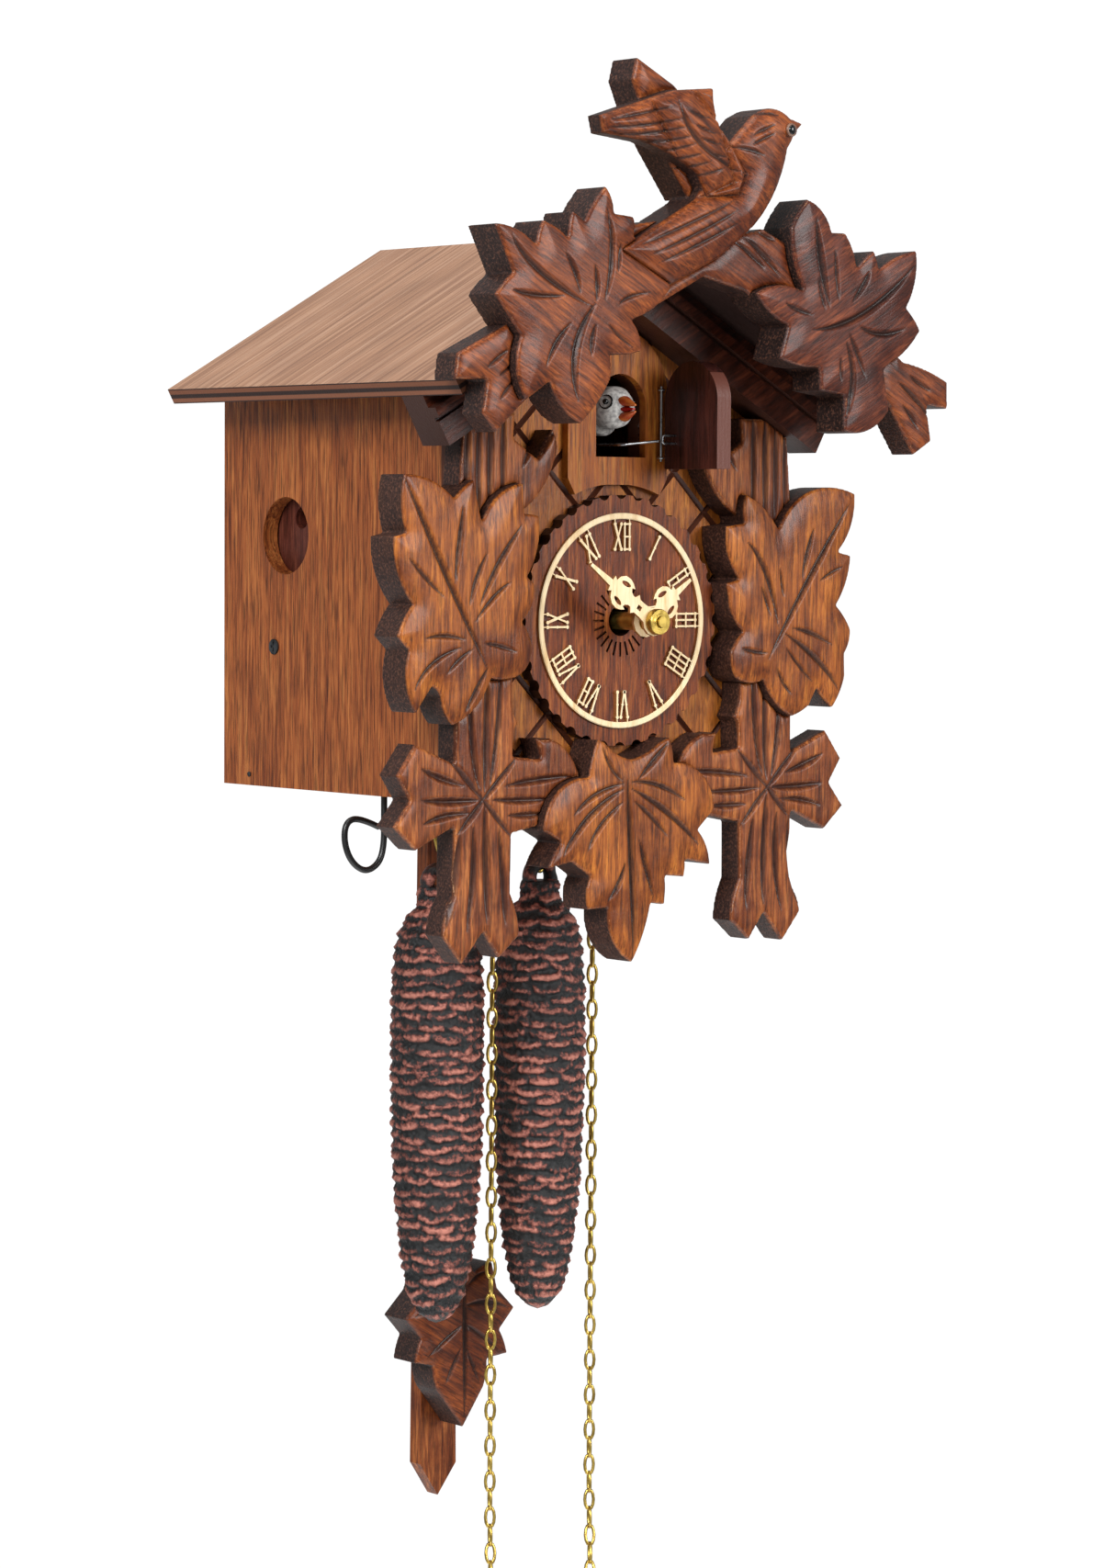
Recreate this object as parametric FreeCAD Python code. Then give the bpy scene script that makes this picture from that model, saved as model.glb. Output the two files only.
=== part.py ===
"""Carved one-day cuckoo clock, as an assembly of separate solids.

Frame: +Z up, the front faces -Y, and the origin is the centre of the hanging
hole on the back face. Every length is in millimetres.
"""
import FreeCAD, Part
import math
import os

V = FreeCAD.Vector

# ---- driving dimensions -------------------------------------------------
CASE_X = 56.3            # half width over the side walls
CASE_FRONT_Y = -107.5    # outer face of the front panel
CASE_BOTTOM_Z = -133.0
WALL = 5.0
BACK = 4.0
BACK_SCREW_X, BACK_SCREW_ZS, BACK_SCREW_DEPTH = 44.0, (-20.0, -122.0), 1.0
HANG_R = 5.0             # hanging hole

ROOF_PITCH = 29.5        # degrees
ROOF_T = 4.6
ROOF_RIDGE_Z = 23.7      # top of the ridge
ROOF_EAVE_X = 76.2       # half width over the eaves
ROOF_FRONT_Y = -134.0
TRIM_H = 15.0            # gable trim, square to the slope
SOUND_HOLE_R = 11.0
SOUND_HOLE_Y, SOUND_HOLE_Z = -30.3, -61.0

DIAL_X, DIAL_Z = 0.0, -84.0
DIAL_R = 35.0
RING_R = 30.0
RING_FACE_Y = -112.6
MINUTE_ANGLE = 305.0     # clockwise from twelve, at rest
HOUR_ANGLE = 55.0

DOOR_X = 1.0             # middle of the door opening
DOOR_HALF = 9.0
DOOR_SILL_Z, DOOR_SPRING_Z = -38.5, -24.4
HINGE_X, HINGE_Y = 14.8, -111.1
DOOR_LEAF_T = 5.0
DOOR_LEAF_W = 22.1
DOOR_GAP = 1.0           # from the hinge wire to the leaf
LINK_Y = -116.6          # where the bird's wire meets the door

POST_FRONT_Y = -116.0    # face of the carved posts
LEAF_FRONT_Y = -119.3    # face of the three leaves on the posts
CROWN_BACK_Y, CROWN_FRONT_Y = -134.0, -147.0
BRANCH_FRONT_Y = -144.0

CHAIN_Y = -62.0
CHAIN_PITCH_R = 10.0     # chain wheel, to the middle of the links
CHAIN_D = 3.6            # outside width of a link
LEFT_WHEEL_X, RIGHT_WHEEL_X = -15.5, 22.0
CHAIN_WHEEL_Z = -88.0
FREE_CHAIN_TOP_Z = -134.5
HANK_TOP_Z, HANK_BOTTOM_Z = -372.0, -450.0
HANK_HALF_X, HANK_HALF_Y = 12.6, 15.0

ROD_Y = -28.0            # middle of the pendulum rod
PIVOT_Z = -58.0          # the pendulum and the anchor turn here

WIRE_X, WIRE_Y = -48.6, -67.0
THIRD_X, THIRD_Z = 18.0, -64.0
ESCAPE_Z = -71.0
HAMMER_X, HAMMER_Z = 32.0, -62.0
BELLOWS_Y, BELLOWS_Z = -14.0, -32.0

SLOPE = math.tan(math.radians(ROOF_PITCH))
COS_P = math.cos(math.radians(ROOF_PITCH))
SIN_P = math.sin(math.radians(ROOF_PITCH))
SOFFIT_Z = ROOF_RIDGE_Z - ROOF_T / COS_P      # underside of the roof at the ridge
EAVE_Z = ROOF_RIDGE_Z - ROOF_EAVE_X * SLOPE

nodes = {}


# ---- helpers ------------------------------------------------------------
def keep(name, *shapes):
    """File one node: one solid, or a group of separate solids."""
    solids = [solid for shape in shapes for solid in shape.Solids]
    nodes[name] = solids[0] if len(solids) == 1 else Part.makeCompound(solids)


def box(x0, x1, y0, y1, z0, z1):
    return Part.makeBox(x1 - x0, y1 - y0, z1 - z0, V(x0, y0, z0))


def rod(x, z, radius, y0, y1):
    """A round bar along Y."""
    return Part.makeCylinder(radius, y1 - y0, V(x, y0, z), V(0, 1, 0))


def post(x, y, radius, z0, z1):
    """A round bar along Z."""
    return Part.makeCylinder(radius, z1 - z0, V(x, y, z0), V(0, 0, 1))


def bar(x0, x1, y, z, radius):
    """A round bar along X."""
    return Part.makeCylinder(radius, x1 - x0, V(x0, y, z), V(1, 0, 0))


def prism(points, y_front, y_back):
    """An outline in the XZ plane, drawn out along Y.

    A point is (x, z), or (x, z, bulge) where the edge that follows it is an
    arc that stands bulge times its length out to the left of its way.
    """
    edges = []
    for i, point in enumerate(points):
        a = V(point[0], y_front, point[1])
        nxt = points[(i + 1) % len(points)]
        b = V(nxt[0], y_front, nxt[1])
        bulge = point[2] if len(point) > 2 else 0.0
        if bulge:
            along = b - a
            mid = (a + b) * 0.5 + V(-along.z, 0, along.x) * bulge
            edges.append(Part.Arc(a, mid, b).toShape())
        else:
            edges.append(Part.LineSegment(a, b).toShape())
    face = Part.Face(Part.Wire(edges))
    return face.extrude(V(0, y_back - y_front, 0))


def mirrored(points):
    """The same outline on the other side of the clock."""
    flipped = []
    count = len(points)
    for i in range(count):
        here = points[count - 1 - i]
        before = points[(count - 2 - i) % count]
        bulge = before[2] if len(before) > 2 else 0.0
        flipped.append((-here[0], here[1], bulge))
    return flipped


def tube(points, radius, bend):
    """A round bar along straight runs, joined by arcs of one bend radius."""
    edges = []
    start = points[0]
    for i in range(1, len(points) - 1):
        before, here, after = points[i - 1], points[i], points[i + 1]
        u = (before - here).normalize()
        w = (after - here).normalize()
        half = u.getAngle(w) / 2.0
        back = bend / math.tan(half)
        middle = here + (u + w).normalize() * (bend / math.sin(half) - bend)
        p0, p1 = here + u * back, here + w * back
        edges.append(Part.LineSegment(start, p0).toShape())
        edges.append(Part.Arc(p0, middle, p1).toShape())
        start = p1
    edges.append(Part.LineSegment(start, points[-1]).toShape())
    path = Part.Wire(edges)
    way = points[1] - points[0]
    ring = Part.Wire(Part.Circle(points[0], way, radius).toShape())
    return path.makePipeShell([ring], True, True)


def turned(shape, angle, x=DIAL_X, z=DIAL_Z):
    """Turn clockwise, as seen from the front, about an axis along Y."""
    copy = shape.copy()
    copy.rotate(V(x, 0, z), V(0, 1, 0), angle)
    return copy


def revolved(profile, x, y):
    """A turned piece on a vertical axis, from (radius, z) points."""
    points = [V(x + r, y, z) for r, z in profile]
    face = Part.Face(Part.makePolygon(points + [points[0]]))
    return face.revolve(V(x, y, 0), V(0, 0, 1), 360)


def gear(x, z, teeth, radius, y0, y1, bore):
    """A spoked brass wheel with pointed teeth."""
    points = []
    for i in range(teeth):
        for part, r in ((0.0, radius - 1.2), (0.35, radius), (0.65, radius)):
            a = 2 * math.pi * (i + part) / teeth
            points.append((x + r * math.cos(a), z + r * math.sin(a)))
    wheel = prism(points, y0, y1).cut(rod(x, z, bore, y0 - 1, y1 + 1))
    if radius > 8:
        for i in range(5):
            a = 2 * math.pi * i / 5
            r = radius * 0.52
            gap = rod(x + r * math.cos(a), z + r * math.sin(a), radius * 0.2, y0 - 1, y1 + 1)
            wheel = wheel.cut(gap)
    return wheel


def under_roof(drop=0.0):
    """Everything above the roof's underside, lowered by drop, as a cutter."""
    top = SOFFIT_Z - drop
    reach = 130.0
    points = [(-reach, top - reach * SLOPE), (-reach, 200.0), (reach, 200.0),
              (reach, top - reach * SLOPE), (0.0, top)]
    return prism(points, -200.0, 50.0)


# ---- case ---------------------------------------------------------------
def make_case():
    roof_cut = under_roof()
    inner_x = CASE_X - WALL
    front_inner_y = CASE_FRONT_Y + WALL
    floor_top = CASE_BOTTOM_Z + WALL

    back = box(-inner_x, inner_x, -BACK, 0, CASE_BOTTOM_Z, 60).cut(roof_cut)
    back = back.cut(rod(0, 0, HANG_R, -BACK - 1, 1))
    for z in BACK_SCREW_ZS:
        for x in (-BACK_SCREW_X, BACK_SCREW_X):
            back = back.cut(rod(x, z, 2.5, -BACK_SCREW_DEPTH, 1))
    keep("back_board", back)

    for side, name in ((-1, "left"), (1, "right")):
        x0, x1 = sorted((side * CASE_X, side * inner_x))
        wall = box(x0, x1, front_inner_y, 0, CASE_BOTTOM_Z, 30).cut(roof_cut)
        hole = bar(x0 - 1, x1 + 1, SOUND_HOLE_Y, SOUND_HOLE_Z, SOUND_HOLE_R)
        keep("side_wall_" + name, wall.cut(hole))

    floor = box(-inner_x, inner_x, front_inner_y, -BACK, CASE_BOTTOM_Z, floor_top)
    for x in (LEFT_WHEEL_X, RIGHT_WHEEL_X):
        for dx in (-CHAIN_PITCH_R, CHAIN_PITCH_R):
            floor = floor.cut(post(x + dx, CHAIN_Y, 3.6, CASE_BOTTOM_Z - 1, floor_top + 1))
    floor = floor.cut(box(-22, 22, ROD_Y - 5.5, ROD_Y + 5.5, CASE_BOTTOM_Z - 1, floor_top + 1))
    floor = floor.cut(post(WIRE_X, WIRE_Y, 1.2, CASE_BOTTOM_Z - 1, floor_top + 1))
    keep("bottom_board", floor)

    front = box(-CASE_X, CASE_X, CASE_FRONT_Y, front_inner_y, CASE_BOTTOM_Z, 60).cut(roof_cut)
    front = front.cut(door_outline(DOOR_X, DOOR_HALF, DOOR_SILL_Z, DOOR_SPRING_Z,
                                   CASE_FRONT_Y - 1, front_inner_y + 1))
    front = front.cut(rod(DIAL_X, DIAL_Z, 5.5, CASE_FRONT_Y - 1, front_inner_y + 1))
    for groove in lattice_grooves():
        front = front.cut(groove)
    keep("front_panel", front)

    for side, name in ((-1, "left"), (1, "right")):
        eave_x, eave_z = ROOF_EAVE_X - ROOF_T * SIN_P, EAVE_Z - ROOF_T * COS_P
        panel = [(0, ROOF_RIDGE_Z), (side * ROOF_EAVE_X, EAVE_Z),
                 (side * eave_x, eave_z), (0, SOFFIT_Z)]
        keep("roof_panel_" + name, prism(panel, ROOF_FRONT_Y, 0))
        keep("gable_trim_" + name, gable_trim(side, eave_x, eave_z))


def door_outline(x, half, sill, spring, y0, y1):
    """A doorway with a round head."""
    points = [(x - half, sill), (x + half, sill), (x + half, spring, -0.5),
              (x - half, spring)]
    return prism(points, y0, y1)


def lattice_grooves():
    """V grooves that cross in diamonds over the front panel."""
    half_w, half_z, mid_z = 11.4, 11.2, -42.4
    deep, wide = 0.9, 1.0
    out = []
    length = 260.0
    for way in (-1, 1):
        for k in range(-9, 10, 2):
            # a line through (half_w * k, mid_z) that leans with the diamonds
            z0 = mid_z - half_z
            x0 = half_w * k
            angle = math.atan2(half_z, half_w * way)
            section = Part.makePolygon([
                V(-length / 2, CASE_FRONT_Y - 0.1, -wide), V(-length / 2, CASE_FRONT_Y + deep, 0),
                V(-length / 2, CASE_FRONT_Y - 0.1, wide), V(-length / 2, CASE_FRONT_Y - 0.1, -wide)])
            cutter = Part.Face(section).extrude(V(length, 0, 0))
            cutter.rotate(V(0, 0, 0), V(0, 1, 0), -math.degrees(angle))
            cutter.translate(V(x0, 0, z0))
            out.append(cutter)
    return out


def gable_trim(side, eave_x, eave_z):
    """Moulded strip under the front of the roof, its end square to the slope."""
    strips = []
    steps = ((0.0, 3.6, 9.5), (3.6, 6.6, 12.5), (6.6, 7.8, 10.2), (7.8, TRIM_H, 11.6))
    for high, low, depth in steps:
        points = [(0, SOFFIT_Z - high / COS_P),
                  (side * (eave_x - high * SIN_P), eave_z - high * COS_P),
                  (side * (eave_x - low * SIN_P), eave_z - low * COS_P),
                  (0, SOFFIT_Z - low / COS_P)]
        strips.append(prism(points, CASE_FRONT_Y - depth, CASE_FRONT_Y))
    trim = strips[0]
    for strip in strips[1:]:
        trim = trim.fuse(strip)
    return trim.removeSplitter()


# ---- carved front -------------------------------------------------------
LEAF_LEFT = [(-80.8, -44.2, 0.10), (-64.1, -50.5, 0.05), (-57.5, -45.4, 0.0), (-54.6, -57.0, 0.14),
             (-40.4, -46.2, 0.0), (-39.9, -54.6, 0.05), (-34.8, -55.1, 0.10), (-38.8, -71.6, 0.0),
             (-36.3, -73.3, 0.14), (-40.6, -83.8, 0.10), (-36.9, -91.8, 0.20), (-45.2, -99.2, 0.08),
             (-51.2, -98.8, 0.12), (-64.3, -111.4, 0.10), (-68.2, -103.6, -0.1), (-71.4, -100.8, 0.0),
             (-76.8, -107.9, 0.12), (-79.0, -91.0, 0.0), (-83.0, -87.3, 0.05), (-77.8, -78.8, 0.10),
             (-84.3, -60.8, 0.0), (-80.2, -59.8, 0.08)]
LEAF_RIGHT = [(40.9, -48.6, 0.08), (53.3, -58.4, 0.10), (66.0, -47.2, 0.08), (82.9, -48.0, 0.12),
              (76.3, -64.8, 0.0), (81.5, -65.8, 0.08), (75.9, -80.1, 0.05), (81.6, -87.0, 0.10),
              (79.4, -94.0, 0.0), (79.6, -100.6, 0.06), (74.7, -109.7, 0.04), (68.5, -103.9, 0.0),
              (65.7, -108.8, 0.05), (58.9, -111.8, 0.10), (48.1, -101.1, 0.12), (37.6, -100.4, 0.10),
              (35.5, -93.1, 0.05), (40.2, -87.4, 0.12), (33.8, -73.6, 0.0), (38.6, -72.6, 0.12),
              (33.5, -57.6, 0.0), (40.4, -56.7, 0.10)]
LEAF_BOTTOM = [(-12.5, -115.5, -0.10), (-1.1, -122.4, -0.08), (12.2, -115.4, 0.06), (14.4, -123.9, 0.22),
               (29.7, -137.4, 0.0), (23.5, -143.0, 0.10), (28.1, -152.9, 0.0), (18.8, -151.2, 0.05),
               (18.4, -156.0, 0.0), (11.4, -155.3, 0.04), (11.2, -163.5, 0.0), (6.2, -162.8, 0.05),
               (-0.6, -179.1, 0.16), (-9.4, -163.4, 0.0), (-16.5, -163.6, 0.12), (-15.5, -154.5, 0.0),
               (-22.4, -150.1, 0.0), (-30.6, -151.5, 0.05), (-26.0, -144.5, 0.0), (-32.4, -141.1, 0.22),
               (-16.4, -127.0, 0.06)]
CROWN_LEFT = [(-72.5, 21.0, 0.10), (-58.5, 15.8, 0.08), (-56.4, 22.6, 0.06), (-47.6, 18.2, 0.06),
              (-46.4, 25.5, 0.04), (-42.2, 22.8, 0.05), (-35.0, 32.6, 0.10), (-32.1, 25.5, 0.0),
              (-25.3, 25.0, 0.12), (-25.3, 19.9, 0.08), (-11.8, 6.6, 0.10), (-26.0, -2.3, 0.12),
              (-22.1, -10.7, 0.05), (-33.3, -11.8, 0.05), (-33.0, -18.6, 0.05), (-43.1, -30.5, 0.12),
              (-53.6, -19.6, 0.0), (-62.0, -24.4, 0.14), (-63.6, -8.0, 0.0), (-72.4, 2.6, 0.04),
              (-66.4, 8.4, 0.0)]
CROWN_RIGHT = [(38.0, 32.8, 0.14), (47.1, 24.1, 0.0), (52.3, 24.2, 0.08), (56.7, 14.4, 0.04),
               (63.3, 19.8, 0.05), (65.2, 14.5, 0.06), (79.8, 20.5, 0.10), (76.1, 4.3, 0.05),
               (81.6, -1.9, 0.05), (73.0, -10.0, -0.08), (67.6, -13.6, 0.0), (69.7, -24.7, 0.16),
               (52.4, -30.7, 0.0), (52.6, -20.9, 0.0), (43.4, -19.7, 0.0), (43.1, -13.4, 0.05),
               (28.2, -11.2, 0.0), (31.2, -2.1, 0.08), (19.2, 6.3, 0.12), (37.3, 7.2, 0.08),
               (31.9, 24.8, 0.05)]
POST_LEFT = [(-58.5, -27.0), (-41.0, -27.0), (-41.5, -34.0, 0.0), (-33.0, -39.5, 0.0), (-27.4, -31.0),
             (-26.0, -36.0, 0.12), (-40.5, -55.0), (-41.5, -104.0, -0.25), (-28.0, -116.0, 0.14),
             (-17.5, -127.5), (-22.0, -138.0), (-41.6, -141.6), (-41.8, -158.0, 0.06),
             (-38.6, -169.6), (-45.7, -175.6), (-51.3, -168.0), (-58.6, -176.6), (-65.4, -168.4, 0.06),
             (-61.4, -158.0), (-61.4, -139.0), (-74.5, -145.0), (-82.0, -138.4), (-76.4, -131.5),
             (-81.0, -124.6), (-74.8, -116.4), (-61.2, -122.0), (-61.0, -60.0)]
POST_WINDOW = [(-40.8, -113.2, 0.0), (-41.2, -120.6), (-31.4, -121.6, -0.12), (-38.2, -110.2)]


def make_carving():
    """Posts, leaves and crown, each cut to fit round the one in front."""
    leaves = {
        "leaf_left": prism(LEAF_LEFT, LEAF_FRONT_Y, CASE_FRONT_Y),
        "leaf_right": prism(LEAF_RIGHT, LEAF_FRONT_Y, CASE_FRONT_Y),
        "leaf_bottom": prism(LEAF_BOTTOM, LEAF_FRONT_Y, CASE_FRONT_Y),
    }
    dial_room = rod(DIAL_X, DIAL_Z, DIAL_R + 0.1, LEAF_FRONT_Y - 1, CASE_FRONT_Y + 1)
    trim_room = under_roof(TRIM_H / COS_P)
    for name, outline, window in (("left", POST_LEFT, POST_WINDOW),
                                  ("right", mirrored(POST_LEFT), mirrored(POST_WINDOW))):
        plate = prism(outline, POST_FRONT_Y, CASE_FRONT_Y).cut(trim_room).cut(dial_room)
        plate = plate.cut(prism(window, POST_FRONT_Y - 1, CASE_FRONT_Y + 1))
        for leaf in leaves.values():
            plate = plate.cut(leaf)
        pieces = [s for s in plate.Solids if s.Volume > 30.0]
        keep("carved_post_" + name, *pieces)
    for name, leaf in leaves.items():
        keep(name, leaf.cut(dial_room))

    crown_leaves = {"crown_leaf_left": CROWN_LEFT, "crown_leaf_right": CROWN_RIGHT}
    solids = {n: prism(p, CROWN_FRONT_Y, CROWN_BACK_Y) for n, p in crown_leaves.items()}
    bird = crown_bird()
    branch = crown_branch().cut(bird)
    for name, leaf in solids.items():
        branch = branch.cut(leaf)
        keep(name, leaf.cut(bird))
    keep("crown_branch", *[s for s in branch.Solids if s.Volume > 30.0])
    keep("crown_bird", bird, rod(29.2, 51.2, 1.3, -149.0, -148.2))


def crown_branch():
    """Two forked branches that follow the roof's slope from the ridge."""
    right = [(-6.0, 12.0), (0.0, 27.0), (9.3, 21.0), (24.0, 24.2), (34.0, 20.0), (60.0, 2.0),
             (78.0, -10.8, 0.04), (95.4, -16.0), (95.5, -23.7), (87.2, -22.8), (89.2, -33.0),
             (82.4, -37.0), (72.6, -23.6), (66.0, -18.0), (44.0, -12.0), (18.2, 6.6)]
    left = [(-82.6, -12.9), (-83.6, -19.9), (-72.6, -19.4), (-74.2, -28.2),
            (-69.6, -33.2), (-60.0, -25.0), (-30.0, -6.0), (6.0, 12.0), (0.0, 27.0), (-30.0, 22.0),
            (-64.0, -4.0)]
    both = prism(right, BRANCH_FRONT_Y, CROWN_BACK_Y)
    return both.fuse(prism(list(reversed(left)), BRANCH_FRONT_Y, CROWN_BACK_Y)).removeSplitter()


def crown_bird():
    """A bird carved from one block: body, a near wing and a far wing."""
    body = [(-29.5, 16.1), (-11.4, 7.3), (5.6, 15.3), (18.0, 24.2, -0.08), (30.3, 46.2, -0.06),
            (32.8, 50.6), (36.3, 53.5), (31.2, 54.8, -0.14), (21.3, 56.3), (17.6, 54.6), (7.8, 45.3),
            (-3.1, 30.5)]
    near = [(-37.6, 51.2), (-36.4, 46.6), (-22.6, 45.3, 0.04), (-3.2, 37.8), (0.5, 31.6),
            (11.6, 32.7), (14.0, 38.8), (7.7, 47.6, 0.12), (2.1, 60.9), (-11.9, 59.5)]
    far = [(-22.6, 62.0), (-19.0, 54.0), (-12.0, 44.0), (-2.0, 31.0), (10.0, 36.0), (4.0, 52.0),
           (-7.9, 61.5), (-21.0, 68.0)]
    block = prism(body, -148.2, CROWN_BACK_Y)
    block = block.fuse(prism(near, -149.3, -143.0))
    block = block.fuse(prism(far, -143.5, -131.5))
    return block.removeSplitter()


# ---- dial and hands -----------------------------------------------------
def make_dial():
    disc_front = RING_FACE_Y + 1.0
    scallops = 36
    disc = rod(DIAL_X, DIAL_Z, DIAL_R, disc_front, CASE_FRONT_Y)
    for i in range(scallops):
        a = 2 * math.pi * i / scallops
        r = DIAL_R + 0.9
        disc = disc.cut(rod(DIAL_X + r * math.cos(a), DIAL_Z + r * math.sin(a), 2.0,
                            disc_front - 1, CASE_FRONT_Y + 1))
    disc = disc.cut(rod(DIAL_X, DIAL_Z, 4.3, disc_front - 1, CASE_FRONT_Y + 1))
    for i in range(24):
        slot = box(DIAL_X - 0.35, DIAL_X + 0.35, disc_front - 1, disc_front + 0.8,
                   DIAL_Z + 6.0, DIAL_Z + 10.0)
        disc = disc.cut(turned(slot, i * 15.0))
    keep("dial_disc", disc)

    ring = rod(DIAL_X, DIAL_Z, RING_R, RING_FACE_Y, disc_front)
    ring = ring.cut(rod(DIAL_X, DIAL_Z, RING_R - 1.7, RING_FACE_Y - 1, disc_front + 1))
    numerals = []
    for hour in range(1, 13):
        for piece in numeral(hour):
            numerals.append(turned(piece, hour * 30.0))
    keep("chapter_ring", ring.multiFuse(numerals).removeSplitter())


def numeral(hour):
    """One roman numeral at twelve o'clock, its head against the ring."""
    top, low = RING_R - 1.4, RING_R - 10.6
    names = {1: "I", 2: "II", 3: "III", 4: "IIII", 5: "V", 6: "VI", 7: "VII", 8: "VIII",
             9: "IX", 10: "X", 11: "XI", 12: "XII"}
    widths = {"I": 2.0, "V": 3.6, "X": 3.6}
    word = names[hour]
    total = sum(widths[letter] for letter in word)
    x = -total / 2.0
    y0, y1 = RING_FACE_Y + 0.1, RING_FACE_Y + 1.0
    pieces = []

    def stroke(xa, za, xb, zb, thick):
        dx, dz = xb - xa, zb - za
        size = math.hypot(dx, dz)
        nx, nz = -dz / size * thick / 2, dx / size * thick / 2
        pieces.append(prism([(DIAL_X + px, DIAL_Z + pz) for px, pz in (
            (xa + nx, za + nz), (xb + nx, zb + nz), (xb - nx, zb - nz), (xa - nx, za - nz))],
            y0, y1))

    for letter in word:
        mid = x + widths[letter] / 2.0
        if letter == "I":
            stroke(mid, low, mid, top, 0.75)
        else:
            foot = 0.0 if letter == "V" else 1.2
            stroke(mid - 1.2, top, mid + foot, low, 0.8)
            stroke(mid + 1.2, top, mid - foot, low, 0.6)
        x += widths[letter]
    half = total / 2.0
    stroke(-half, low + 0.4, half, low + 0.4, 0.6)
    stroke(-half, low + 8.0, half, low + 8.0, 0.6)
    return pieces


def hand(length, y0, y1, collar_r, bore_r, angle):
    """A pierced wooden hand that points to twelve, then turned to its hour."""
    tip = length
    outline = [(-0.5, tip), (-1.3, tip * 0.62), (-1.0, tip * 0.60), (-3.4, tip * 0.42, 0.25),
               (-1.8, collar_r * 0.9), (1.8, collar_r * 0.9, 0.25), (3.4, tip * 0.42),
               (1.0, tip * 0.60), (1.3, tip * 0.62), (0.5, tip)]
    shape = prism([(DIAL_X + p[0], DIAL_Z + p[1]) + tuple(p[2:]) for p in outline], y0, y1)
    for side in (-1, 1):
        shape = shape.cut(rod(DIAL_X + side * 1.5, DIAL_Z + tip * 0.36, 0.9, y0 - 1, y1 + 1))
    shape = shape.fuse(rod(DIAL_X, DIAL_Z, collar_r, y0, y1))
    shape = shape.cut(rod(DIAL_X, DIAL_Z, bore_r, y0 - 1, y1 + 1)).removeSplitter()
    return turned(shape, angle)


def make_hands():
    keep("hour_hand", hand(20.0, -122.6, -121.4, 4.4, 2.5, HOUR_ANGLE))
    keep("minute_hand", hand(27.6, -126.2, -125.0, 4.0, 1.5, MINUTE_ANGLE))
    keep("hand_nut", rod(DIAL_X, DIAL_Z, 3.6, -129.0, -126.2).cut(
        rod(DIAL_X, DIAL_Z, 1.5, -130, -126)))
    pipe = rod(DIAL_X, DIAL_Z, 2.5, -122.6, -97.0).cut(rod(DIAL_X, DIAL_Z, 1.56, -124, -96))
    pipe = pipe.fuse(gear(DIAL_X, DIAL_Z, 48, 12.0, -98.6, -97.0, 1.56))
    keep("hour_pipe", pipe)
    arbor = rod(DIAL_X, DIAL_Z, 1.5, -129.8, -48.0)
    wheel = gear(DIAL_X, DIAL_Z, 50, 11.6, -84.0, -82.4, 1.4)
    keep("minute_arbor", arbor.fuse(wheel).removeSplitter())


# ---- cuckoo and its door ------------------------------------------------
def make_cuckoo():
    surround = [(-18.0, -44.5, 0.0), (-15.4, -49.0, 0.04), (-4.0, -46.2, 0.0), (4.0, -46.2, 0.04),
                (15.4, -49.0), (18.0, -44.5), (18.0, -21.0, -0.5), (-18.0, -21.0)]
    plate = prism(surround, -110.0, CASE_FRONT_Y)
    plate = plate.cut(door_outline(DOOR_X, DOOR_HALF, DOOR_SILL_Z, DOOR_SPRING_Z, -112, -106))
    plate = plate.cut(rod(DIAL_X, DIAL_Z, DIAL_R + 2.5, -112, -106))
    keep("door_surround", plate.cut(under_roof(TRIM_H / COS_P)))

    x0, x1 = HINGE_X + 0.6, HINGE_X + 0.6 + DOOR_LEAF_T
    y_hinge = HINGE_Y - DOOR_GAP
    y_free = y_hinge - DOOR_LEAF_W
    radius = DOOR_LEAF_W / 2.0
    top_y = (y_hinge + y_free) / 2.0
    flat = Part.makePolygon([V(x0, y_hinge, -41.7), V(x0, y_free, -41.7), V(x0, y_free, -22.0)])
    arch = Part.Arc(V(x0, y_free, -22.0), V(x0, top_y, -22.0 + radius * 0.92), V(x0, y_hinge, -22.0))
    close = Part.LineSegment(V(x0, y_hinge, -22.0), V(x0, y_hinge, -41.7)).toShape()
    wire = Part.Wire(flat.Edges + [arch.toShape(), close])
    leaf = Part.Face(wire).extrude(V(x1 - x0, 0, 0))
    keep("door_leaf", leaf)
    reach = x0 - 4.8
    staple = tube([V(x0, LINK_Y, -34.6), V(reach, LINK_Y, -34.6), V(reach, LINK_Y, -32.4),
                   V(x0, LINK_Y, -32.4)], 0.35, 0.8)
    keep("door_staple", staple)
    hinge = post(HINGE_X, HINGE_Y, 0.4, -39.6, -18.6)
    eyes = [Part.makeTorus(0.75, 0.3, V(HINGE_X, HINGE_Y, z), V(0, 0, 1)) for z in (-38.6, -19.6)]
    keep("door_hinge_wire", hinge, *eyes)

    head = Part.makeSphere(6.3, V(2.0, -105.4, -24.6))
    neck = Part.makeCone(4.6, 5.6, 22.0, V(2.0, -103.0, -26.0), V(0, 1, -0.12))
    bird = head.fuse(neck)
    keep("cuckoo_body", bird.removeSplitter())
    upper = Part.makeCone(2.1, 0.4, 4.4, V(2.0, -111.4, -23.9), V(0, -1, 0.22))
    lower = Part.makeCone(1.8, 0.4, 3.8, V(2.0, -111.2, -26.3), V(0, -1, -0.25))
    keep("cuckoo_beak", upper.cut(bird), lower.cut(bird).cut(upper))
    arm = box(-0.5, 4.5, -80.8, -70.0, -38.0, -30.0)
    keep("cuckoo_arm", arm)
    link = tube([V(-0.5, -78.0, -35.2), V(-3.4, -78.0, -35.2), V(-3.4, LINK_Y + 0.8, -35.2),
                 V(9.0, LINK_Y, -34.0)], 0.35, 1.5)
    keep("door_link_wire", link)


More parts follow.
